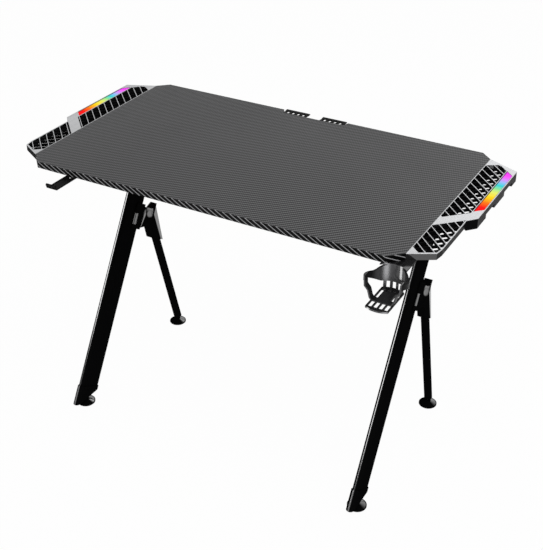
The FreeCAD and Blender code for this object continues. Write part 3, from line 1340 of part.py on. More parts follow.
def all_parts():
    """Every named piece of the desk."""
    parts = {}
    core, laminate, front_band, rear_band = tabletop()
    parts["tabletop_core"] = core
    parts["top_laminate"] = laminate
    parts["front_edge_band"] = front_band
    parts["rear_edge_band"] = rear_band
    comb_screws = []
    right_wing = {
        "wing_body": wing_body(),
        "light_window": light_window(),
        "light_strip": light_strip(),
    }
    leg_parts = {
        "front_leg": front_leg(),
        "rear_leg": rear_leg(),
        "leg_bracket": leg_bracket(),
        "front_foot_cap": front_foot_cap(),
        "rear_foot_shoe": rear_foot_shoe(),
    }
    inserts = []
    for side, name in SIDES:
        parts["cable_comb_" + name] = cable_comb(side)
        comb_screws += board_screws(comb_seats(side))
        for kind, shape in right_wing.items():
            parts[kind + "_" + name] = shape if side > 0 else mirrored(shape)
        plate = wing_faceplate(side)
        parts["wing_faceplate_" + name] = plate if side > 0 else mirrored(plate)
        parts["wing_screws_" + name] = Part.makeCompound(board_screws(wing_seats(side)))
        parts["light_lead_" + name] = light_lead(side)
        parts["side_rail_" + name] = side_rail(side)
        over = Vector(side * RAIL_X, 0, 0)
        for kind, shape in leg_parts.items():
            parts[kind + "_" + name] = shape.translated(over)
        inserts.append(foot_insert().translated(over))
        for end, y in (("front", FRONT_FOOT_Y), ("rear", REAR_FOOT_Y)):
            parts["foot_pad_" + end + "_" + name] = foot_pad(y).translated(over)
            parts["foot_stud_" + end + "_" + name] = foot_stud(y).translated(over)
    parts["comb_screws"] = Part.makeCompound(comb_screws)
    parts["foot_inserts"] = Part.makeCompound(inserts)
    parts["lead_clips"] = lead_clips()
    parts["controller_case"] = controller_case()
    parts["controller_board"] = controller_board()
    parts["mode_button"] = mode_button()
    parts["power_socket"] = power_socket()
    parts["controller_screws"] = Part.makeCompound(board_screws(controller_seats()))
    parts["front_beam"] = beam(BEAM_PLACES[0])
    parts["rear_beam"] = beam(BEAM_PLACES[1])
    parts["beam_bolts"] = beam_bolts()
    parts["board_screws"] = Part.makeCompound(board_screws(rail_seats()))
    parts["leg_bolts"] = leg_bolts()
    parts["bracket_screws"] = bracket_screws()
    parts["headphone_hook"] = headphone_hook()
    parts["hook_screws"] = Part.makeCompound(board_screws(hook_seats()))
    parts["cup_holder"] = cup_holder()
    parts["cup_screws"] = Part.makeCompound(board_screws(cup_seats()))
    return parts


def export_all():
    os.makedirs("parts", exist_ok=True)
    for name, shape in all_parts().items():
        placed = shape.translated(ORIGIN_SHIFT)
        placed.exportStep("parts/" + name + ".step")
        print(name, len(placed.Solids), placed.isValid(), round(placed.Volume, 1), placed.BoundBox)


export_all()
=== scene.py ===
import math
from collections import namedtuple

import bmesh
import bpy
from bpy.props import FloatProperty, FloatVectorProperty, PointerProperty
from bpy.types import Operator, Panel, PropertyGroup
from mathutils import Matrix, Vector


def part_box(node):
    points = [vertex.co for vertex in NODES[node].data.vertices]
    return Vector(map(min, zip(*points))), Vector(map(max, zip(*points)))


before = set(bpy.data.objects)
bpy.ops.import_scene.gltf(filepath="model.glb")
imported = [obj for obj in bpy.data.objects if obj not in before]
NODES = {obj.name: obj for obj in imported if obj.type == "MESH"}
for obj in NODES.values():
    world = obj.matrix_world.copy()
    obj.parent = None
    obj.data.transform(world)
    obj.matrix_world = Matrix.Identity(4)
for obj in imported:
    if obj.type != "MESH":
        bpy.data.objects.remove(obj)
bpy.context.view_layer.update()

bl_info = {
    "name": "Gaming desk dresser",
    "version": (1, 0, 0),
    "blender": (4, 5, 0),
    "location": "View3D > Sidebar > Desk",
    "description": "Finishes the desk's packed pieces and sets the studio stage",
    "category": "Object",
}

SIDES = ("left", "right")
ENDS = ("front", "rear")

# Radius in metres that the light sees on a crisp edge, a soft one and the edge of a silver plate
CRISP_EDGE = 0.0008
SOFT_EDGE = 0.0012
PLATE_EDGE = 0.0006

# Depth in metres of a skin's grain at full strength, and roughness of its polished facets
GRAIN_DEPTH = 0.0002
POLISH_ROUGHNESS = 0.12

# How much paler a rubbed edge is than its skin, and how much deeper the streaks in the silver are
RUB_GAIN = 2.2
RUB_LIFT = 0.004
STREAK_SHADE = 0.86

# Colours that a user would hardly change
BLACK = (0.0, 0.0, 0.0)
WHITE = (1.0, 1.0, 1.0)
# Painted shade at the edges of the tows, where they dip between each other
TOW_GAP_SHADE = (0.012, 0.012, 0.0125)
BAND_BLACK = (0.0015, 0.0015, 0.0016)
RUBBED_SILVER = (0.8, 0.81, 0.83)
WINDOW_RIM_BLACK = (0.004, 0.004, 0.004)
CUP_BLACK = (0.008, 0.008, 0.0085)
# Pale colour of the painted reflection band on the cup holder's front right walls
CUP_PAINTED_SHEEN = (0.07, 0.07, 0.072)

# Light window: dark rim and spacing of the light chips in metres, how much the chips ripple the glow,
# and how much darker than its glow the window's own skin is
WINDOW_RIM = 0.0016
CHIP_PITCH = 0.01575
CHIP_RIPPLE = 0.03
WINDOW_SHADE = 0.85

# Colours of the glow, from the front of a light window to its back
GLOW_STOPS = (
    (0.0, (0.85, 0.0, 0.004)),
    (0.14, (0.95, 0.004, 0.004)),
    (0.24, (1.0, 0.17, 0.004)),
    (0.38, (0.98, 0.68, 0.008)),
    (0.5, (0.7, 0.82, 0.16)),
    (0.58, (0.24, 0.74, 0.3)),
    (0.66, (0.02, 0.62, 0.66)),
    (0.73, (0.26, 0.5, 0.86)),
    (0.8, (0.62, 0.28, 0.9)),
    (0.88, (0.9, 0.08, 0.92)),
    (1.0, (0.82, 0.03, 0.78)),
)

# A polished facet: the way it faces, how closely the skin has to face that way for the polish to
# start and to be full, and the strength of the polish
Facet = namedtuple("Facet", "aim start full strength")

# Faces that look to the right, and the right wing's slanted front face
WING_FACETS = (
    Facet((1.0, 0.0, 0.0), 0.9, 0.98, 0.11),
    Facet((0.494, -0.869, 0.0), 0.985, 0.998, 0.8),
)
# Line down the round nose of each slanted front leg and of its foot cap
LEG_NOSE = (Facet((-0.12, -0.853, 0.506), 0.989, 0.998, 0.55),)
CAP_NOSE = (Facet((-0.13, -0.852, 0.506), 0.985, 0.997, 0.95),)
# Right side of each leg bracket
BRACKET_FACETS = (
    Facet((0.98, 0.19, 0.0), 0.985, 0.997, 1.0),
    Facet((0.8, -0.5, -0.33), 0.83, 0.97, 1.0),
    Facet((0.95, 0.27, -0.16), 0.965, 0.99, 1.0),
    Facet((0.95, -0.27, 0.16), 0.965, 0.99, 1.0),
    Facet((0.9, 0.42, 0.0), 0.93, 0.99, 0.25),
)
# Right rear rim of each levelling foot
PAD_RIM = (Facet((0.55, 0.62, 0.56), 0.62, 0.92, 1.0),)
# Front left and top of the cup holder, and the band on its front right that carries a painted
# reflection, a pale metallic colour laid into the skin
CUP_FACETS = (
    Facet((-0.326, -0.946, 0.0), 0.88, 0.99, 1.0),
    Facet((0.0, 0.0, 1.0), 0.97, 0.995, 0.6),
)
CUP_PAINTED_BAND = Facet((0.39, -0.92, 0.0), 0.7, 1.0, 1.0)
# Lean of the cup holder's upright walls as the light sees it, about ten degrees
CUP_DRAFT = 0.176

# Lamps: name, place, the point it faces, width and height in metres, and watts
SOFT_LAMPS = (
    ("key_lamp", (1.2, -1.2, 3.2), (0.0, 0.0, 0.7), (2.4, 2.4), 36.0),
    ("back_softbox", (0.15, 2.7, 2.3), (0.3, 0.0, 0.76), (1.5, 1.1), 9.0),
)
# Lamps that show only as highlights on glossy skins
SHINE_LAMPS = (
    ("left_shine", (-1.3, -1.5, 1.0), (0.0, -0.1, 0.35), (1.8, 0.8), 54.0),
    ("cup_shine_right", (0.9, -1.155, 0.52), (0.48, -0.3, 0.72), (0.4, 0.4), 3.2),
    ("cup_shine_left", (-0.3, -0.74, 0.1), (0.48, -0.3, 0.72), (0.25, 0.4), 3.2),
)

# Floor: half its width in metres, its paint, and the share of plain white that the camera sees
FLOOR_REACH = 6.0
FLOOR_PAINT = (0.9, 0.9, 0.9)
FLOOR_WHITE = 0.97
SENSOR_WIDTH = 36.0


class TabletopSettings(PropertyGroup):
    """Sizes and colours of the tabletop's finishes."""
    # Painted reflection: the tows along the desk are painted dark and those from front to back pale
    tow_shaded_colour: FloatVectorProperty(
        name="Dark tows", description="Colour of the tows that run along the desk",
        subtype="COLOR", default=(0.024, 0.024, 0.025), size=3)
    tow_lit_colour: FloatVectorProperty(
        name="Pale tows", description="Colour of the tows that run from front to back",
        subtype="COLOR", default=(0.145, 0.145, 0.148), size=3)
    tow_width: FloatProperty(
        name="Tow width", description="Width of one tow of the twill",
        unit="LENGTH", default=0.00335)
    stripe_pitch: FloatProperty(
        name="Stripe pitch", description="Distance between the slanted lines of the edge band",
        unit="LENGTH", default=0.01978)
    stripe_lean: FloatProperty(
        name="Stripe lean", description="How far a line runs sideways for each metre down",
        default=1.72)
    stripe_colour: FloatVectorProperty(
        name="Stripe colour", description="Colour of the slanted lines",
        subtype="COLOR", default=(0.4, 0.4, 0.41), size=3)


class WingSettings(PropertyGroup):
    """Colours of the side wings."""
    silver: FloatVectorProperty(
        name="Silver", description="Colour of the faceplates",
        subtype="COLOR", default=(0.51, 0.515, 0.525), size=3)
    glow: FloatProperty(
        name="Glow", description="Brightness of the light windows", default=1.0, min=0.0)


class FrameSettings(PropertyGroup):
    """Colours of the legs and the moulded pieces."""
    coat: FloatVectorProperty(
        name="Coat", description="Colour of the powder coated steel",
        subtype="COLOR", default=(0.0035, 0.0035, 0.0037), size=3)
    moulding: FloatVectorProperty(
        name="Moulding", description="Colour of the glossy mouldings",
        subtype="COLOR", default=(0.0035, 0.0035, 0.0037), size=3)


class StageSettings(PropertyGroup):
    """Camera and even light of the studio."""
    camera_place: FloatVectorProperty(
        name="Camera place", description="Where the camera stands",
        subtype="TRANSLATION", default=(1.1869, -2.01055, 1.8658), size=3)
    azimuth: FloatProperty(
        name="Azimuth", description="Turn of the camera round the desk",
        subtype="ANGLE", default=math.radians(29.42))
    elevation: FloatProperty(
        name="Elevation", description="Tilt of the camera below the horizon",
        subtype="ANGLE", default=math.radians(31.6))
    lens: FloatProperty(
        name="Lens", description="Focal length of the camera in millimetres", default=68.44)
    world_light: FloatProperty(
        name="World light", description="Strength of the even light all round", default=0.55)


class Web:
    """Short hand for placing and joining shader nodes in one tree."""

    def __init__(self, tree):
        self.tree = tree

    def node(self, kind, **values):
        """Places a node with the given settings."""
        made = self.tree.nodes.new(kind)
        for key, value in values.items():
            setattr(made, key, value)
        return made

    def feed(self, socket, value):
        """Joins an input to another node's output, or sets it to a plain value."""
        if isinstance(value, bpy.types.NodeSocket):
            self.tree.links.new(value, socket)
        else:
            socket.default_value = value

    def calc(self, operation, *values):
        """One step of arithmetic."""
        made = self.node("ShaderNodeMath", operation=operation)
        for index, value in enumerate(values):
            self.feed(made.inputs[index], value)
        return made.outputs[0]

    def dot(self, first, second):
        """How closely two directions agree: one where they are the same."""
        made = self.node("ShaderNodeVectorMath", operation="DOT_PRODUCT")
        self.feed(made.inputs[0], first)
        self.feed(made.inputs[1], second)
        return made.outputs["Value"]

    def place(self):
        """Place in the desk's frame, in metres."""
        return self.node("ShaderNodeTexCoord").outputs["Object"]

    def split(self, vector):
        """The X, Y and Z of a vector, by name."""
        made = self.node("ShaderNodeSeparateXYZ")
        self.feed(made.inputs[0], vector)
        return made.outputs

    def spread(self, value, low, high, to_low=0.0, to_high=1.0, smooth=True):
        """Maps low to high onto a new range, with soft ends where smooth is set."""
        ease = "SMOOTHSTEP" if smooth else "LINEAR"
        made = self.node("ShaderNodeMapRange", interpolation_type=ease)
        for index, number in enumerate((value, low, high, to_low, to_high)):
            self.feed(made.inputs[index], number)
        return made.outputs[0]

    def noise(self, vector, scale, detail=3.0, rough=0.55):
        """Cloudy change over the surface, scale clouds to the metre."""
        made = self.node("ShaderNodeTexNoise")
        self.feed(made.inputs["Vector"], vector)
        self.feed(made.inputs["Scale"], scale)
        self.feed(made.inputs["Detail"], detail)
        self.feed(made.inputs["Roughness"], rough)
        return made.outputs["Fac"]

    def mix(self, share, first, second):
        """Blend of two colours, whose sockets come after the node's number and vector ones."""
        made = self.node("ShaderNodeMix", data_type="RGBA")
        self.feed(made.inputs[0], share)
        self.feed(made.inputs[6], first)
        self.feed(made.inputs[7], second)
        return made.outputs[2]

    def group(self, name, **values):
        """Places a shared effect with its own values."""
        made = self.node("ShaderNodeGroup")
        made.node_tree = bpy.data.node_groups[name]
        for key, value in values.items():
            self.feed(made.inputs[key], value)
        return made.outputs

    def bump(self, height, strength, distance, normal=None):
        """Relief from a height, on top of another relief where one is given."""
        made = self.node("ShaderNodeBump")
        made.inputs["Strength"].default_value = strength
        made.inputs["Distance"].default_value = distance
        self.feed(made.inputs["Height"], height)
        if normal is not None:
            self.feed(made.inputs["Normal"], normal)
        return made.outputs[0]


def new_group(name, inputs, outputs, normals=()):
    """Shader node group with named number inputs, number outputs and normal outputs."""
    group = bpy.data.node_groups.new(name, "ShaderNodeTree")
    for label, value in inputs.items():
        socket = group.interface.new_socket(label, in_out="INPUT", socket_type="NodeSocketFloat")
        socket.default_value = value
    for label in outputs:
        group.interface.new_socket(label, in_out="OUTPUT", socket_type="NodeSocketFloat")
    for label in normals:
        group.interface.new_socket(label, in_out="OUTPUT", socket_type="NodeSocketVector")
    web = Web(group)
    return web, web.node("NodeGroupInput").outputs, web.node("NodeGroupOutput").inputs


def build_moulded_grain():
    """Fine uneven grain of moulded and sprayed skins, with slow cloudy change in gloss."""
    web, take, give = new_group(
        "moulded_grain", {"Scale": 900.0, "Cloud": 9.0}, ("Height", "Cloud"))
    place = web.place()
    web.feed(give["Height"], web.noise(place, take["Scale"], 2.0, 0.6))
    web.feed(give["Cloud"], web.noise(place, take["Cloud"], 4.0, 0.5))


def build_edge_wear():
    """Rounds the light on hard edges and marks where hands and handling rub them."""
    web, take, give = new_group(
        "edge_wear", {"Radius": 0.001, "Patchiness": 35.0}, ("Mask",), normals=("Normal",))
    bevel = web.node("ShaderNodeBevel", samples=4)
    web.feed(bevel.inputs["Radius"], take["Radius"])
    rounded = bevel.outputs[0]
    flat = web.node("ShaderNodeNewGeometry").outputs["Normal"]
    edge = web.spread(web.dot(rounded, flat), 0.995, 0.8)
    patch = web.spread(web.noise(web.place(), take["Patchiness"], 5.0), 0.35, 0.65)
    web.feed(give["Mask"], web.calc("MULTIPLY", edge, patch))
    web.feed(give["Normal"], rounded)


def build_twill_weave():
    """Two over two twill: each tow passes over two and under two, one step on in each row."""
    web, take, give = new_group("twill_weave", {"Tow": 0.003}, ("Warp", "Crown", "Fibre"))
    place = web.split(web.place())
    across = web.calc("DIVIDE", place["X"], take["Tow"])
    along = web.calc("DIVIDE", place["Y"], take["Tow"])
    column = web.calc("FLOOR", across)
    row = web.calc("FLOOR", along)
    u = web.calc("FRACT", across)
    v = web.calc("FRACT", along)
    step = web.calc("FLOORED_MODULO", web.calc("SUBTRACT", column, row), 4.0)
    warp = web.calc("LESS_THAN", step, 1.5)
    weft = web.calc("SUBTRACT", 1.0, warp)
    warp_run = web.calc("MULTIPLY", web.calc("ADD", v, web.calc("SUBTRACT", 1.0, step)), 0.5)
    weft_run = web.calc("MULTIPLY", web.calc("ADD", u, web.calc("SUBTRACT", step, 2.0)), 0.5)

    def hump(side, run):
        """Rounded top of a tow, lower at the ends of its run where it dives under."""
        round_side = web.calc("SINE", web.calc("MULTIPLY", side, math.pi))
        round_run = web.calc("SINE", web.calc("MULTIPLY", run, math.pi))
        return web.calc("MULTIPLY", round_side, web.calc("MULTIPLY_ADD", round_run, 0.6, 0.4))

    warp_crown = web.calc("MULTIPLY", hump(u, warp_run), warp)
    crown = web.calc("MULTIPLY_ADD", hump(v, weft_run), weft, warp_crown)
    strand = web.calc("ADD", web.calc("MULTIPLY", u, warp), web.calc("MULTIPLY", v, weft))
    fibres_in_a_tow = 5
    fibre = web.calc("SINE", web.calc("MULTIPLY", strand, 2 * math.pi * fibres_in_a_tow))
    web.feed(give["Warp"], warp)
    web.feed(give["Crown"], crown)
    web.feed(give["Fibre"], fibre)


def build_slant_lines():
    """Thin slanted lines that run down a band, on a fine cloth print.

    Width is the share of the pitch that a line takes up."""
    web, take, give = new_group(
        "slant_lines", {"Pitch": 0.02, "Lean": 1.7, "Top": 0.76, "Width": 0.19}, ("Line", "Cloth"))
    place = web.split(web.place())
    drop = web.calc("SUBTRACT", place["Z"], take["Top"])
    drift = web.calc("MULTIPLY_ADD", drop, take["Lean"], place["X"])
    turn = web.calc("FRACT", web.calc("DIVIDE", drift, take["Pitch"]))
    off = web.calc("ABSOLUTE", web.calc("SUBTRACT", turn, 0.5))
    half = web.calc("MULTIPLY", take["Width"], 0.5)
    outer = web.calc("MULTIPLY", half, 1.3)
    inner = web.calc("MULTIPLY", half, 0.7)
    web.feed(give["Line"], web.spread(off, outer, inner))
    web.feed(give["Cloth"], web.noise(web.place(), 700.0, 2.0))


def build_brushing():
    """Fine parallel scratches of satin metal along the desk's depth."""
    web, take, give = new_group("brushing", {"Fineness": 1200.0}, ("Height", "Streak"))
    stretch = web.node("ShaderNodeMapping")
    web.feed(stretch.inputs["Vector"], web.place())
    stretch.inputs["Scale"].default_value = (1.0, 0.03, 1.0)
    drawn_out = stretch.outputs[0]
    web.feed(give["Height"], web.noise(drawn_out, take["Fineness"], 2.0))
    web.feed(give["Streak"], web.noise(drawn_out, 160.0, 4.0))


def build_polished_facet():
    """Marks the skin that faces one way, where the mould was polished."""
    web, take, give = new_group(
        "polished_facet", {"X": 0.0, "Y": -1.0, "Z": 0.0, "Start": 0.95, "Full": 0.99}, ("Mask",))
    aim = web.node("ShaderNodeCombineXYZ")
    for axis in ("X", "Y", "Z"):
        web.feed(aim.inputs[axis], take[axis])
    unit = web.node("ShaderNodeVectorMath", operation="NORMALIZE")
    web.feed(unit.inputs[0], aim.outputs[0])
    normal = web.node("ShaderNodeNewGeometry").outputs["Normal"]
    turn = web.dot(normal, unit.outputs[0])
    web.feed(give["Mask"], web.spread(turn, take["Start"], take["Full"]))


def build_groups():
    """Builds each shared effect once."""
    build_moulded_grain()
    build_edge_wear()
    build_twill_weave()
    build_slant_lines()
    build_brushing()
    build_polished_facet()


def new_finish(name, **sockets):
    """Material with one Principled shader and the given plain socket values."""
    material = bpy.data.materials.new(name)
    material.use_nodes = True
    material.node_tree.nodes.clear()
    web = Web(material.node_tree)
    shader = web.node("ShaderNodeBsdfPrincipled")
    output = web.node("ShaderNodeOutputMaterial")
    web.tree.links.new(shader.outputs[0], output.inputs[0])
    for key, value in sockets.items():
        shader.inputs[key.replace("_", " ")].default_value = value
    return material, web, shader.inputs


def opaque(colour):
    """Colour with full cover."""
    return tuple(colour) + (1.0,)


def facet_share(web, facet):
    """Strength of one facet's polish over the surface."""
    x, y, z = facet.aim
    marks = web.group("polished_facet", X=x, Y=y, Z=z, Start=facet.start, Full=facet.full)
    return web.calc("MULTIPLY", marks["Mask"], facet.strength)


def polish(web, inputs, facets):
    """Lays a clear coat on the polished facets."""
    total = None
    for facet in facets:
        share = facet_share(web, facet)
        total = share if total is None else web.calc("MAXIMUM", total, share)
    if total is not None:
        web.feed(inputs["Coat Weight"], total)


def cloudy_gloss(web, inputs, cloud, rough):
    """Roughness that drifts a little round one value."""
    web.feed(inputs["Roughness"], web.spread(cloud, 0.25, 0.75, rough - 0.05, rough + 0.06, False))


def patterned_gloss(web, inputs, pattern, low, high):
    """Roughness that follows the skin's own pattern, from low to high."""
    web.feed(inputs["Roughness"], web.spread(pattern, 0.3, 0.7, low, high, False))


def skin_finish(name, colour, rough, level, grain, bump, radius=CRISP_EDGE, facets=(), index=1.5):
    """Moulded or sprayed skin: fine grain, cloudy gloss, edges rubbed paler and polished facets.

    Level is the skin's own reflection and index that of the coat on its facets."""
    material, web, inputs = new_finish(
        name, Specular_IOR_Level=level, Coat_Roughness=POLISH_ROUGHNESS, Coat_IOR=index)
    skin = web.group("moulded_grain", Scale=grain)
    edge = web.group("edge_wear", Radius=radius)
    rubbed = tuple(min(1.0, RUB_GAIN * part + RUB_LIFT) for part in colour)
    web.feed(inputs["Base Color"], web.mix(edge["Mask"], opaque(colour), opaque(rubbed)))
    cloudy_gloss(web, inputs, skin["Cloud"], rough)
    web.feed(inputs["Normal"], web.bump(skin["Height"], bump, GRAIN_DEPTH, edge["Normal"]))
    polish(web, inputs, facets)
    return material


def metal_finish(name, fineness, deep, pale, low, high):
    """Bare metal whose fine streaks run between two colours, and its roughness from low to high."""
    material, web, inputs = new_finish(name, Metallic=1.0)
    brush = web.group("brushing", Fineness=fineness)
    web.feed(inputs["Base Color"], web.mix(brush["Streak"], opaque(deep), opaque(pale)))
    patterned_gloss(web, inputs, brush["Streak"], low, high)
    return material


def twill_finish(sizes):
    """Carbon look sheet: tows in a twill under a satin skin, their pale and dark colours a painted
    reflection, each tow darkened towards its edges as painted shade.
    """
    material, web, inputs = new_finish("carbon_twill_sheet", Specular_IOR_Level=0.12)
    weave = web.group("twill_weave", Tow=sizes.tow_width)
    skin = web.group("moulded_grain", Scale=1400.0, Cloud=2.5)
    # Painted shade and reflection: each tow darkens from its crown to the gap colour, and is pale or
    # dark by the way it runs
    crown_shade = web.calc("MULTIPLY_ADD", weave["Crown"], 0.5, 0.5)
    tow = web.mix(weave["Warp"], opaque(sizes.tow_shaded_colour), opaque(sizes.tow_lit_colour))
    web.feed(inputs["Base Color"], web.mix(crown_shade, opaque(TOW_GAP_SHADE), tow))
    patterned_gloss(web, inputs, skin["Cloud"], 0.46, 0.54)
    threads = web.calc("MULTIPLY_ADD", weave["Fibre"], 0.08, weave["Crown"])
    cloth = web.bump(threads, 0.12, 0.0003)
    web.feed(inputs["Normal"], web.bump(skin["Height"], 0.05, 0.0001, cloth))
    return material


def stripe_finish(sizes):
    """Black edge band with thin slanted lines."""
    material, web, inputs = new_finish("striped_edge_band", Specular_IOR_Level=0.03)
    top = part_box("front_edge_band")[1].z
    lines = web.group("slant_lines", Pitch=sizes.stripe_pitch, Lean=sizes.stripe_lean, Top=top)
    tone = web.mix(lines["Line"], opaque(BAND_BLACK), opaque(sizes.stripe_colour))
    web.feed(inputs["Base Color"], tone)
    patterned_gloss(web, inputs, lines["Cloth"], 0.38, 0.5)
    web.feed(inputs["Normal"], web.bump(lines["Cloth"], 0.05, 0.0002))
    return material


def silver_finish(silver):
    """Satin silver of the faceplates, brushed and rubbed brighter on its edges."""
    material, web, inputs = new_finish("satin_silver", Metallic=0.55, Specular_IOR_Level=0.5)
    brush = web.group("brushing")
    edge = web.group("edge_wear", Radius=PLATE_EDGE)
    deep = tuple(STREAK_SHADE * part for part in silver)
    tone = web.mix(web.spread(brush["Streak"], 0.3, 0.7), opaque(deep), opaque(silver))
    web.feed(inputs["Base Color"], web.mix(edge["Mask"], tone, opaque(RUBBED_SILVER)))
    patterned_gloss(web, inputs, brush["Streak"], 0.34, 0.46)
    web.feed(inputs["Normal"], web.bump(brush["Height"], 0.06, 0.0001, edge["Normal"]))
    return material


def glow_finish(side, strength):
    """Light window whose colour runs from red at the front to magenta at the back."""
    low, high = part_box("light_window_" + side)
    material, web, inputs = new_finish(
        "light_window_glow_" + side, Roughness=0.25, Specular_IOR_Level=0.005,
        Emission_Strength=strength)
    place = web.split(web.place())
    ramp = web.node("ShaderNodeValToRGB")
    stops = ramp.color_ramp.elements
    while len(stops) < len(GLOW_STOPS):
        stops.new(0.5)
    for stop, (spot, colour) in zip(stops, GLOW_STOPS):
        stop.position = spot
        stop.color = opaque(colour)
    web.feed(ramp.inputs[0], web.spread(place["Y"], low.y, high.y, smooth=False))
    near = web.spread(place["X"], low.x + 0.5 * WINDOW_RIM, low.x + WINDOW_RIM)
    far = web.spread(place["X"], high.x - 0.5 * WINDOW_RIM, high.x - WINDOW_RIM)
    inside = web.calc("MULTIPLY", near, far)
    chips = web.calc("COSINE", web.calc("MULTIPLY", place["Y"], 2 * math.pi / CHIP_PITCH))
    ripple = web.calc("MULTIPLY_ADD", chips, CHIP_RIPPLE, 1.0 - CHIP_RIPPLE)
    pulse = web.calc("MULTIPLY", inside, ripple)
    shown = web.mix(pulse, opaque(WINDOW_RIM_BLACK), ramp.outputs[0])
    web.feed(inputs["Emission Color"], shown)
    web.feed(inputs["Base Color"], web.mix(WINDOW_SHADE, shown, opaque(BLACK)))
    return material


def cup_finish():
    """Glossy skin of the cup holder, whose upright walls take the light as if they leaned, and whose
    front right walls carry a painted reflection as a pale metallic band in their colour.
    """
    material, web, inputs = new_finish(
        "cup_moulding", Specular_IOR_Level=0.06, Coat_Roughness=POLISH_ROUGHNESS, Coat_IOR=1.5)
    cloudy_gloss(web, inputs, web.group("moulded_grain")["Cloud"], 0.3)
    polish(web, inputs, CUP_FACETS)
    # Painted reflection: the front right walls turn pale and metallic in a band
    band = facet_share(web, CUP_PAINTED_BAND)
    web.feed(inputs["Metallic"], band)
    web.feed(inputs["Base Color"], web.mix(band, opaque(CUP_BLACK), opaque(CUP_PAINTED_SHEEN)))
    lean = web.calc("MULTIPLY", web.split(web.place())["Z"], -CUP_DRAFT)
    web.feed(inputs["Normal"], web.bump(lean, 1.0, 1.0))
    return material


def wear_material(node, material):
    """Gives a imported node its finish."""
    slots = NODES[node].data.materials
    slots.clear()
    slots.append(material)


class DESK_OT_tabletop(Operator):
    """Finishes the board, its carbon look sheet and its striped edges."""
    bl_idname = "desk.tabletop"
    bl_label = "Tabletop"

    def execute(self, context):
        sizes = context.scene.desk_tabletop
        wear_material("top_laminate", twill_finish(sizes))
        band = stripe_finish(sizes)
        for end in ENDS:
            wear_material(end + "_edge_band", band)
        board = skin_finish(
            "board_backing", (0.02, 0.02, 0.021), rough=0.6, level=0.3, grain=420.0, bump=0.12)
        wear_material("tabletop_core", board)
        return {"FINISHED"}


class DESK_OT_combs(Operator):
    """Finishes the cable combs at the back."""
    bl_idname = "desk.combs"
    bl_label = "Cable combs"

    def execute(self, context):
        comb = skin_finish(
            "comb_moulding", (0.002, 0.002, 0.0022), rough=0.42, level=0.03, grain=800.0, bump=0.08)
        for side in SIDES:
            wear_material("cable_comb_" + side, comb)
        return {"FINISHED"}


class DESK_OT_wings(Operator):
    """Finishes the side wings, their silver plates and light windows."""
    bl_idname = "desk.wings"
    bl_label = "Side wings"

    def execute(self, context):
        wing = context.scene.desk_wings
        body = skin_finish(
            "wing_moulding", (0.004, 0.004, 0.0044), rough=0.45, level=0.008, grain=600.0, bump=0.1,
            facets=WING_FACETS, index=2.0)
        plate = silver_finish(wing.silver)
        for side in SIDES:
            wear_material("wing_body_" + side, body)
            wear_material("wing_faceplate_" + side, plate)
            wear_material("light_window_" + side, glow_finish(side, wing.glow))
        return {"FINISHED"}


class DESK_OT_wiring(Operator):
    """Finishes the light strips, leads, clips and controller."""
    bl_idname = "desk.wiring"
    bl_label = "Light wiring"

    def execute(self, context):
        circuit = skin_finish(
            "circuit_lacquer", (0.012, 0.09, 0.04), rough=0.35, level=0.5, grain=300.0, bump=0.05)
        case = skin_finish(
            "controller_moulding", (0.012, 0.012, 0.013), rough=0.5, level=0.3, grain=650.0,
            bump=0.15)
        cable = skin_finish(
            "cable_jacket", (0.008, 0.008, 0.008), rough=0.55, level=0.3, grain=500.0, bump=0.1)
        key = skin_finish(
            "button_moulding", (0.05, 0.05, 0.053), rough=0.3, level=0.4, grain=700.0, bump=0.05)
        for side in SIDES:
            wear_material("light_strip_" + side, circuit)
            wear_material("light_lead_" + side, cable)
        wear_material("controller_board", circuit)
        for node in ("controller_case", "power_socket", "lead_clips"):
            wear_material(node, case)
        wear_material("mode_button", key)
        return {"FINISHED"}


class DESK_OT_frame(Operator):
    """Finishes the rails, beams, legs and fasteners."""
    bl_idname = "desk.frame"
    bl_label = "Steel frame"

    def execute(self, context):
        coat = skin_finish(
            "black_powder_coat", context.scene.desk_frame.coat, rough=0.3, level=0.0, grain=1100.0,
            bump=0.06, radius=SOFT_EDGE, facets=LEG_NOSE, index=2.2)
        zinc = metal_finish(
            "zinc_plate", fineness=2500.0, deep=(0.22, 0.22, 0.23), pale=(0.42, 0.42, 0.44),
            low=0.28, high=0.42)
        brass = metal_finish(
            "turned_brass", fineness=3000.0, deep=(0.45, 0.3, 0.1), pale=(0.6, 0.42, 0.16),
            low=0.25, high=0.4)
        for node in ("front_beam", "rear_beam"):
            wear_material(node, coat)
        for node in ("comb_screws", "controller_screws", "beam_bolts", "board_screws", "leg_bolts",
                     "bracket_screws", "hook_screws", "cup_screws"):
            wear_material(node, zinc)
        for side in SIDES:
            for node in ("side_rail_", "front_leg_", "rear_leg_"):
                wear_material(node + side, coat)
            for node in ("wing_screws_", "foot_stud_front_", "foot_stud_rear_"):
                wear_material(node + side, zinc)
        wear_material("foot_inserts", brass)
        return {"FINISHED"}


class DESK_OT_mouldings(Operator):
    """Finishes the leg brackets, foot ends and levelling feet."""
    bl_idname = "desk.mouldings"
    bl_label = "Brackets and feet"

    def execute(self, context):
        colour = context.scene.desk_frame.moulding

        def glossy(name, facets):
            """Glossy black moulding with its own polished facets."""
            return skin_finish(name, colour, rough=0.26, level=0.0, grain=500.0, bump=0.04,
                               radius=SOFT_EDGE, facets=facets, index=2.4)

        bracket = glossy("glossy_moulding", BRACKET_FACETS)
        cap = glossy("cap_moulding", CAP_NOSE)
        pad = glossy("foot_moulding", PAD_RIM)
        for side in SIDES:
            wear_material("leg_bracket_" + side, bracket)
            for node in ("front_foot_cap_", "rear_foot_shoe_"):
                wear_material(node + side, cap)
            for end in ENDS:
                wear_material("foot_pad_" + end + "_" + side, pad)
        return {"FINISHED"}


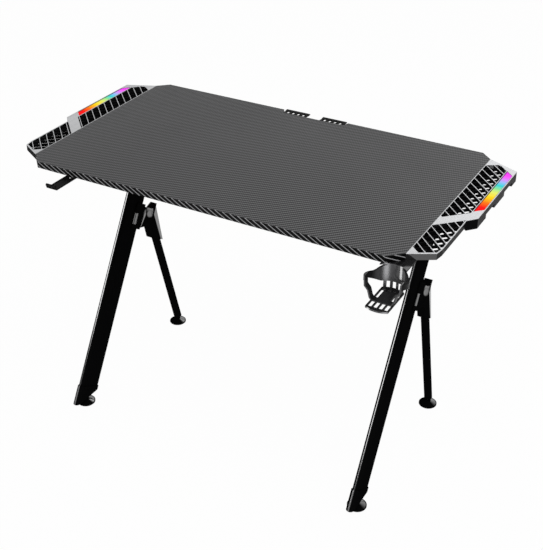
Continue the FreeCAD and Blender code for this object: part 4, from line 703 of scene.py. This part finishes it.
class DESK_OT_holders(Operator):
    """Finishes the headphone hook and the cup holder."""
    bl_idname = "desk.holders"
    bl_label = "Hook and cup holder"

    def execute(self, context):
        hook = skin_finish(
            "hook_coat", context.scene.desk_frame.coat, rough=0.3, level=0.02, grain=900.0,
            bump=0.05, radius=SOFT_EDGE)
        wear_material("headphone_hook", hook)
        wear_material("cup_holder", cup_finish())
        return {"FINISHED"}


def bright_rays(web):
    """One for rays that see the background itself, as the camera, a mirror or glass does."""
    path = web.node("ShaderNodeLightPath").outputs
    seen = web.calc("MAXIMUM", path["Is Camera Ray"], path["Is Glossy Ray"])
    return web.calc("MAXIMUM", seen, path["Is Transmission Ray"])


def studio_world(scene, strength):
    """Even light all round, plain white where it is seen itself."""
    world = bpy.data.worlds.new("studio_world")
    world.use_nodes = True
    world.node_tree.nodes.clear()
    web = Web(world.node_tree)
    sky = web.node("ShaderNodeBackground")
    sky.inputs["Color"].default_value = opaque(WHITE)
    level = web.spread(bright_rays(web), 0.0, 1.0, strength, 1.0, False)
    web.feed(sky.inputs["Strength"], level)
    end = web.node("ShaderNodeOutputWorld")
    web.tree.links.new(sky.outputs[0], end.inputs[0])
    scene.world = world


def floor_paint():
    """Pale paint that takes the desk's shadow and is near white to the camera."""
    material = bpy.data.materials.new("pale_floor")
    material.use_nodes = True
    material.node_tree.nodes.clear()
    web = Web(material.node_tree)
    paint = web.node("ShaderNodeBsdfDiffuse")
    paint.inputs["Color"].default_value = opaque(FLOOR_PAINT)
    white = web.node("ShaderNodeEmission")
    white.inputs["Color"].default_value = opaque(WHITE)
    blend = web.node("ShaderNodeMixShader")
    web.feed(blend.inputs[0], web.calc("MULTIPLY", bright_rays(web), FLOOR_WHITE))
    web.tree.links.new(paint.outputs[0], blend.inputs[1])
    web.tree.links.new(white.outputs[0], blend.inputs[2])
    end = web.node("ShaderNodeOutputMaterial")
    web.tree.links.new(blend.outputs[0], end.inputs[0])
    return material


def studio_floor(scene):
    """Flat floor under the feet."""
    mesh = bpy.data.meshes.new("studio_floor")
    shape = bmesh.new()
    bmesh.ops.create_grid(shape, x_segments=4, y_segments=4, size=FLOOR_REACH)
    shape.to_mesh(mesh)
    shape.free()
    mesh.materials.append(floor_paint())
    floor = bpy.data.objects.new("studio_floor", mesh)
    scene.collection.objects.link(floor)


def studio_lamp(scene, name, place, aim, size, power):
    """Rectangular soft lamp that faces a point."""
    data = bpy.data.lights.new(name, "AREA")
    data.shape = "RECTANGLE"
    data.size, data.size_y = size
    data.energy = power
    lamp = bpy.data.objects.new(name, data)
    lamp.location = place
    lamp.rotation_euler = (Vector(aim) - Vector(place)).to_track_quat("-Z", "Y").to_euler()
    scene.collection.objects.link(lamp)
    return lamp


def studio_camera(scene, stage):
    """Camera at the photograph's viewing angle."""
    data = bpy.data.cameras.new("studio_camera")
    data.lens = stage.lens
    data.sensor_width = SENSOR_WIDTH
    camera = bpy.data.objects.new("studio_camera", data)
    level = math.cos(stage.elevation)
    back = Vector((
        math.sin(stage.azimuth) * level,
        -math.cos(stage.azimuth) * level,
        math.sin(stage.elevation)))
    camera.location = stage.camera_place
    camera.rotation_mode = "QUATERNION"
    camera.rotation_quaternion = (-back).to_track_quat("-Z", "Y")
    scene.collection.objects.link(camera)
    scene.camera = camera


class DESK_OT_stage(Operator):
    """Sets the pale floor, the soft studio light and the camera."""
    bl_idname = "desk.stage"
    bl_label = "Studio stage"

    def execute(self, context):
        scene = context.scene
        stage = scene.desk_stage
        scene.view_settings.view_transform = "Standard"
        studio_world(scene, stage.world_light)
        studio_floor(scene)
        for values in SOFT_LAMPS:
            studio_lamp(scene, *values)
        for values in SHINE_LAMPS:
            lamp = studio_lamp(scene, *values)
            lamp.visible_diffuse = False
            lamp.visible_camera = False
        studio_camera(scene, stage)
        return {"FINISHED"}


SETTINGS = {
    "desk_tabletop": TabletopSettings,
    "desk_wings": WingSettings,
    "desk_frame": FrameSettings,
    "desk_stage": StageSettings,
}
STEPS = (
    DESK_OT_tabletop,
    DESK_OT_combs,
    DESK_OT_wings,
    DESK_OT_wiring,
    DESK_OT_frame,
    DESK_OT_mouldings,
    DESK_OT_holders,
    DESK_OT_stage,
)


class DESK_PT_panel(Panel):
    """Sidebar panel with the settings and one button for each step."""
    bl_idname = "DESK_PT_panel"
    bl_label = "Gaming desk"
    bl_space_type = "VIEW_3D"
    bl_region_type = "UI"
    bl_category = "Desk"

    def draw(self, context):
        for name, kind in SETTINGS.items():
            column = self.layout.column()
            for label in kind.__annotations__:
                column.prop(getattr(context.scene, name), label)
        for step in STEPS:
            self.layout.operator(step.bl_idname)


CLASSES = tuple(SETTINGS.values()) + STEPS + (DESK_PT_panel,)


def register():
    for kind in CLASSES:
        bpy.utils.register_class(kind)
    for name, kind in SETTINGS.items():
        setattr(bpy.types.Scene, name, PointerProperty(type=kind))


def unregister():
    for name in SETTINGS:
        delattr(bpy.types.Scene, name)
    for kind in reversed(CLASSES):
        bpy.utils.unregister_class(kind)


def main():
    register()
    build_groups()
    bpy.ops.desk.tabletop()
    bpy.ops.desk.combs()
    bpy.ops.desk.wings()
    bpy.ops.desk.wiring()
    bpy.ops.desk.frame()
    bpy.ops.desk.mouldings()
    bpy.ops.desk.holders()
    bpy.ops.desk.stage()


if __name__ == "__main__":
    main()
